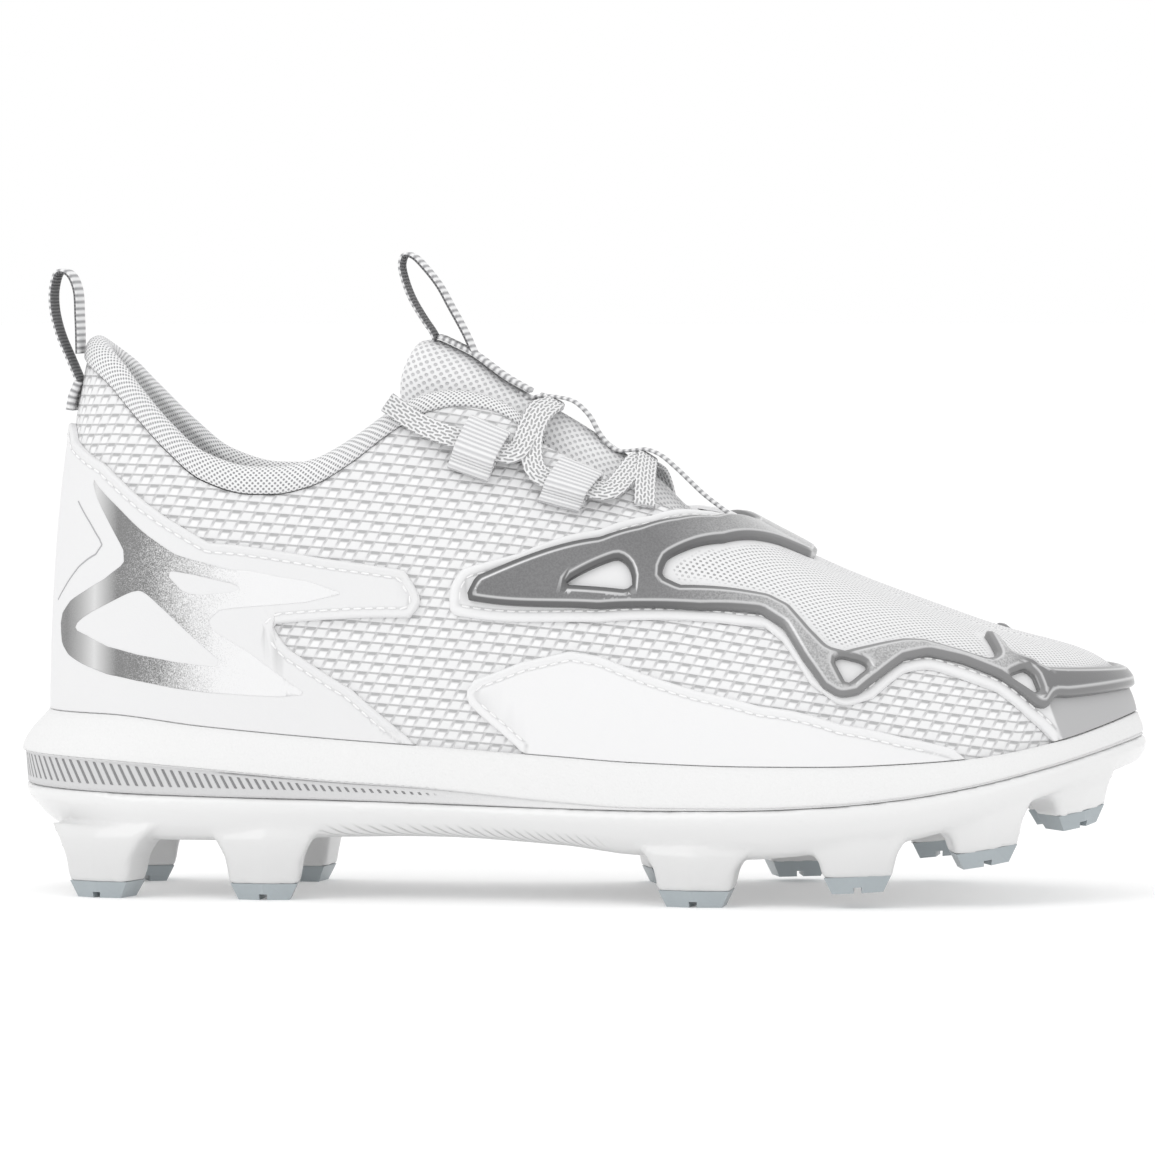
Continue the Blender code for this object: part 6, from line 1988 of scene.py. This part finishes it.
def build_midsole():
    flare, tuck_in = sole_flare(RING_X, FLARE), sole_flare(RING_X, GROOVE_FLARE)
    rings, up, band = [], [], []

    def add(distance, height, place=0.0, grey=0.0):
        rings.append(ring_at(distance, height))
        up.append(np.full(len(RING), place))
        band.append(np.full(len(RING), grey))

    add(SKIN_GAP, level(TOP, rise=-TUCK - GAP))
    add(SKIN_GAP, level(TOP, rise=-RIM_ROUND))
    add(SKIN_GAP + 0.0001, level(TOP, rise=RIM_RISE - RIM_EDGE))
    add(SKIN_GAP + 0.0005, level(TOP, rise=RIM_RISE))
    add(SKIN_GAP + RIM, level(TOP, rise=RIM_RISE - RIM_EDGE))
    for t in np.linspace(0.12, 1.0, 12):
        inward_share = (1 - t) ** SIDE_CROWN
        add((SKIN_GAP + RIM) * inward_share + flare * (1 - inward_share), level(TOP, BAND, t))
    add(flare - 0.0001, level(BAND, rise=-BAND_EDGE), 1.0)
    add(flare - BAND_STEP * 0.8, level(BAND, rise=-2 * BAND_EDGE), 1.0, 0.5)
    add(flare - BAND_STEP, level(BAND, rise=-3 * BAND_EDGE), 1.0, 1.0)
    for t in np.linspace(0.1, 1.0, 10):
        add((flare - BAND_STEP) * (1 - t) + tuck_in * t, level(BAND, GROOVE, t), 1 - t, 1.0)
    add(tuck_in - GAP, level(GROOVE, rise=-BAND_EDGE), 0.0, 1.0)
    add(tuck_in - PLATE_WALL - GAP, level(GROOVE), 0.0, 1.0)
    add(tuck_in - PLATE_WALL - CUP_SLOPE, level(BOTTOM, rise=PLATE_FLOOR + 2 * GAP))
    ribbed = np.clip(((RIB_END - 0.5) * LENGTH - RING_X) / RIB_FADE, 0, 1)
    marks = {"up": up, "band": band, "ribbed": [ribbed] * len(rings)}
    rings_piece("foam_midsole", rings, FOAM, marks, node="midsole", slot="midsole_foam")


def build_insole():
    rings = [
        ring_at(-WALL - 5 * SKIN_GAP, level(TOP, rise=INSOLE_WALL - TUCK)),
        ring_at(-WALL - 2 * SKIN_GAP, level(TOP, rise=INSOLE_SIDE * INSOLE_WALL - TUCK)),
        ring_at(-WALL - 2 * SKIN_GAP, level(TOP, rise=GAP - TUCK)),
    ]
    rings_piece("foot_bed", rings, INSOLE, node="insole", slot="insole_fabric")


def stud_ring(stud, grow, rise, lean=0.0, root_share=0.0):
    """A rounded section of a stud, rise above its tip's face."""
    length, depth = stud[3] / 2 + grow + STUD_SKIN, stud[4] / 2 + STUD_SKIN
    centre, height, heading, tilt, side = stud_frame(stud)
    outer, inner = depth + lean, -depth - grow * STUD_INWARD
    outline = [
        (-length, outer), (0, outer + STUD_RIDGE), (length, outer),
        (length * STUD_TAPER, inner), (0, inner), (-length * STUD_TAPER, inner),
    ]
    made = []
    for u, v in evenly(rounded(outline, STUD_ROUND, 4), STUD_STEP):
        v = v * side
        x = centre[0] + u * math.cos(heading) - v * math.sin(heading)
        y = centre[1] + u * math.sin(heading) + v * math.cos(heading)
        z = height + rise + u * math.tan(tilt)
        root = float(sole_level(x, BOTTOM)) + STUD_ROOT
        made.append((x, y, z + (root - z) * root_share))
    return np.array(made)


def evenly_count(loop, count):
    """The closed loop's points again, count of them at even steps from its first."""
    loop = np.vstack([loop, loop[:1]])
    run = run_of(loop)
    at = np.linspace(0, run[-1], count + 1)[:-1]
    return np.stack([np.interp(at, run, loop[:, k]) for k in range(3)], -1)


def add_stud(build, stud):
    """A stud's root, added to the plate's mesh as a closed solid that reaches into it."""
    _, grow, lean = STUD_FLARE[0]
    sections = [stud_ring(stud, grow, TIP_HEIGHT - 0.0002, lean)]
    sections += [stud_ring(stud, grow, TIP_HEIGHT + GAP, lean, share) for share, grow, lean in STUD_FLARE]
    count = min(len(section) for section in sections)
    start = len(build.verts)
    for section in sections:
        for point in evenly_count(section, count) + SHIFT:
            build.verts.new(point)
    build.verts.ensure_lookup_table()
    top = start + (len(sections) - 1) * count
    faces = grid_faces(len(sections), count, start, True)
    faces += [tuple(range(start, start + count))[::-1], tuple(range(top, top + count))]
    added = [build.faces.new([build.verts[i] for i in f]) for f in faces]
    bmesh.ops.recalc_face_normals(build, faces=added)


def build_plate():
    reach, edge = sole_flare(RING_X, GROOVE_FLARE), sole_flare(RING_X, EDGE_INSET)
    rings = [
        ring_at(reach - PLATE_WALL - CUP_SLOPE, level(BOTTOM, rise=PLATE_FLOOR)),
        ring_at(reach - PLATE_WALL, level(GROOVE, rise=-GAP)),
        ring_at(reach + 0.0001, level(GROOVE, rise=-GAP)),
        ring_at(reach + 0.0003, level(GROOVE, rise=-GAP - 0.0004)),
    ]
    tuck = HEEL_TUCK * np.clip((HEEL_TUCK_START - RING_X) / HEEL_TUCK_SPAN, 0, 1)
    for down, bulge, inset_share in PLATE_SIDE:
        out = reach + PLATE_BULGE * bulge - edge * inset_share - tuck * down**HEEL_TUCK_POWER
        rings.append(ring_at(out, level(GROOVE, BOTTOM, down)))
    plate = rings_piece("plate_shell", rings, PLATE, node="outsole_plate", slot="plate")
    build = bmesh.new()
    build.from_mesh(plate.data)
    for stud in STUDS:
        add_stud(build, stud)
    build.to_mesh(plate.data)
    build.free()
    remesh = plate.modifiers.new("fuse", "REMESH")
    remesh.mode = "VOXEL"
    remesh.voxel_size = PLATE_VOXEL
    remesh.use_smooth_shade = True
    soften = plate.modifiers.new("soften", "SMOOTH")
    soften.factor = 0.5
    soften.iterations = 3


def finish_tips():
    """The tips stay as the model has them, in their own material and with rounded edges."""
    for stud in STUDS:
        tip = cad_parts["tip_" + stud[0]]
        tip.data.materials.clear()
        tip.data.materials.append(TIP)
        bevel = tip.modifiers.new("rounding", "BEVEL")
        bevel.width = TIP_ROUND
        bevel.segments = 3
        bevel.limit_method = "ANGLE"
        bevel.harden_normals = False


# Studio

def build_studio():
    scene = bpy.context.scene
    floor_mesh = bpy.data.meshes.new("studio_floor")
    angles = [2 * math.pi * k / FLOOR_SIDES for k in range(FLOOR_SIDES)]
    ring = [(FLOOR_REACH * math.cos(a), FLOOR_REACH * math.sin(a), 0.0) for a in angles]
    floor_mesh.from_pydata(ring, [], [tuple(range(FLOOR_SIDES))])
    floor = bpy.data.objects.new("studio_floor", floor_mesh)
    scene.collection.objects.link(floor)
    glow = {"Emission_Color": grey(1.0), "Emission_Strength": FLOOR_GLOW}
    paint = Wiring("studio_white", grey(FLOOR_GREY), 0.9, **glow)
    floor_mesh.materials.append(paint.material)
    scene.world = bpy.data.worlds.new("studio_world")
    scene.world.use_nodes = True
    background = scene.world.node_tree.nodes["Background"]
    background.inputs["Color"].default_value = (1, 1, 1, 1)
    background.inputs["Strength"].default_value = 1.0
    scene.view_settings.view_transform = "Standard"
    for name, place, size, power in LIGHTS:
        light = bpy.data.lights.new(name, "AREA")
        light.size = size
        light.energy = power
        lamp = bpy.data.objects.new(name, light)
        lamp.location = place
        aim = Vector(LIGHT_AIM) - Vector(place)
        lamp.rotation_euler = aim.to_track_quat("-Z", "Y").to_euler()
        scene.collection.objects.link(lamp)


def build_camera():
    turn, up = math.radians(CAMERA_TURN), math.radians(CAMERA_RISE)
    toward = Vector((math.sin(turn) * math.cos(up), -math.cos(turn) * math.cos(up), math.sin(up)))
    data = bpy.data.cameras.new("photo_camera")
    data.sensor_width = CAMERA_SENSOR
    data.lens = CAMERA_LENS
    camera = bpy.data.objects.new("photo_camera", data)
    camera.location = Vector(CAMERA_AIM) + Vector(SHIFT) + toward * CAMERA_DISTANCE
    camera.rotation_euler = (-toward).to_track_quat("-Z", "Y").to_euler()
    bpy.context.scene.collection.objects.link(camera)
    bpy.context.scene.camera = camera


build_upper()
build_counter()
build_vamp()
build_frame()
for side, word in SIDES:
    build_side_panel(side, word)
    build_keeper("keeper_front_" + word, FRONT_KEEPER, side)
    build_keeper("keeper_rear_" + word, REAR_KEEPER, side)
build_collar()
build_tongue()
build_laces()
build_heel_loop()
build_tongue_loop()
build_midsole()
build_insole()
build_plate()
finish_tips()
build_studio()
build_camera()
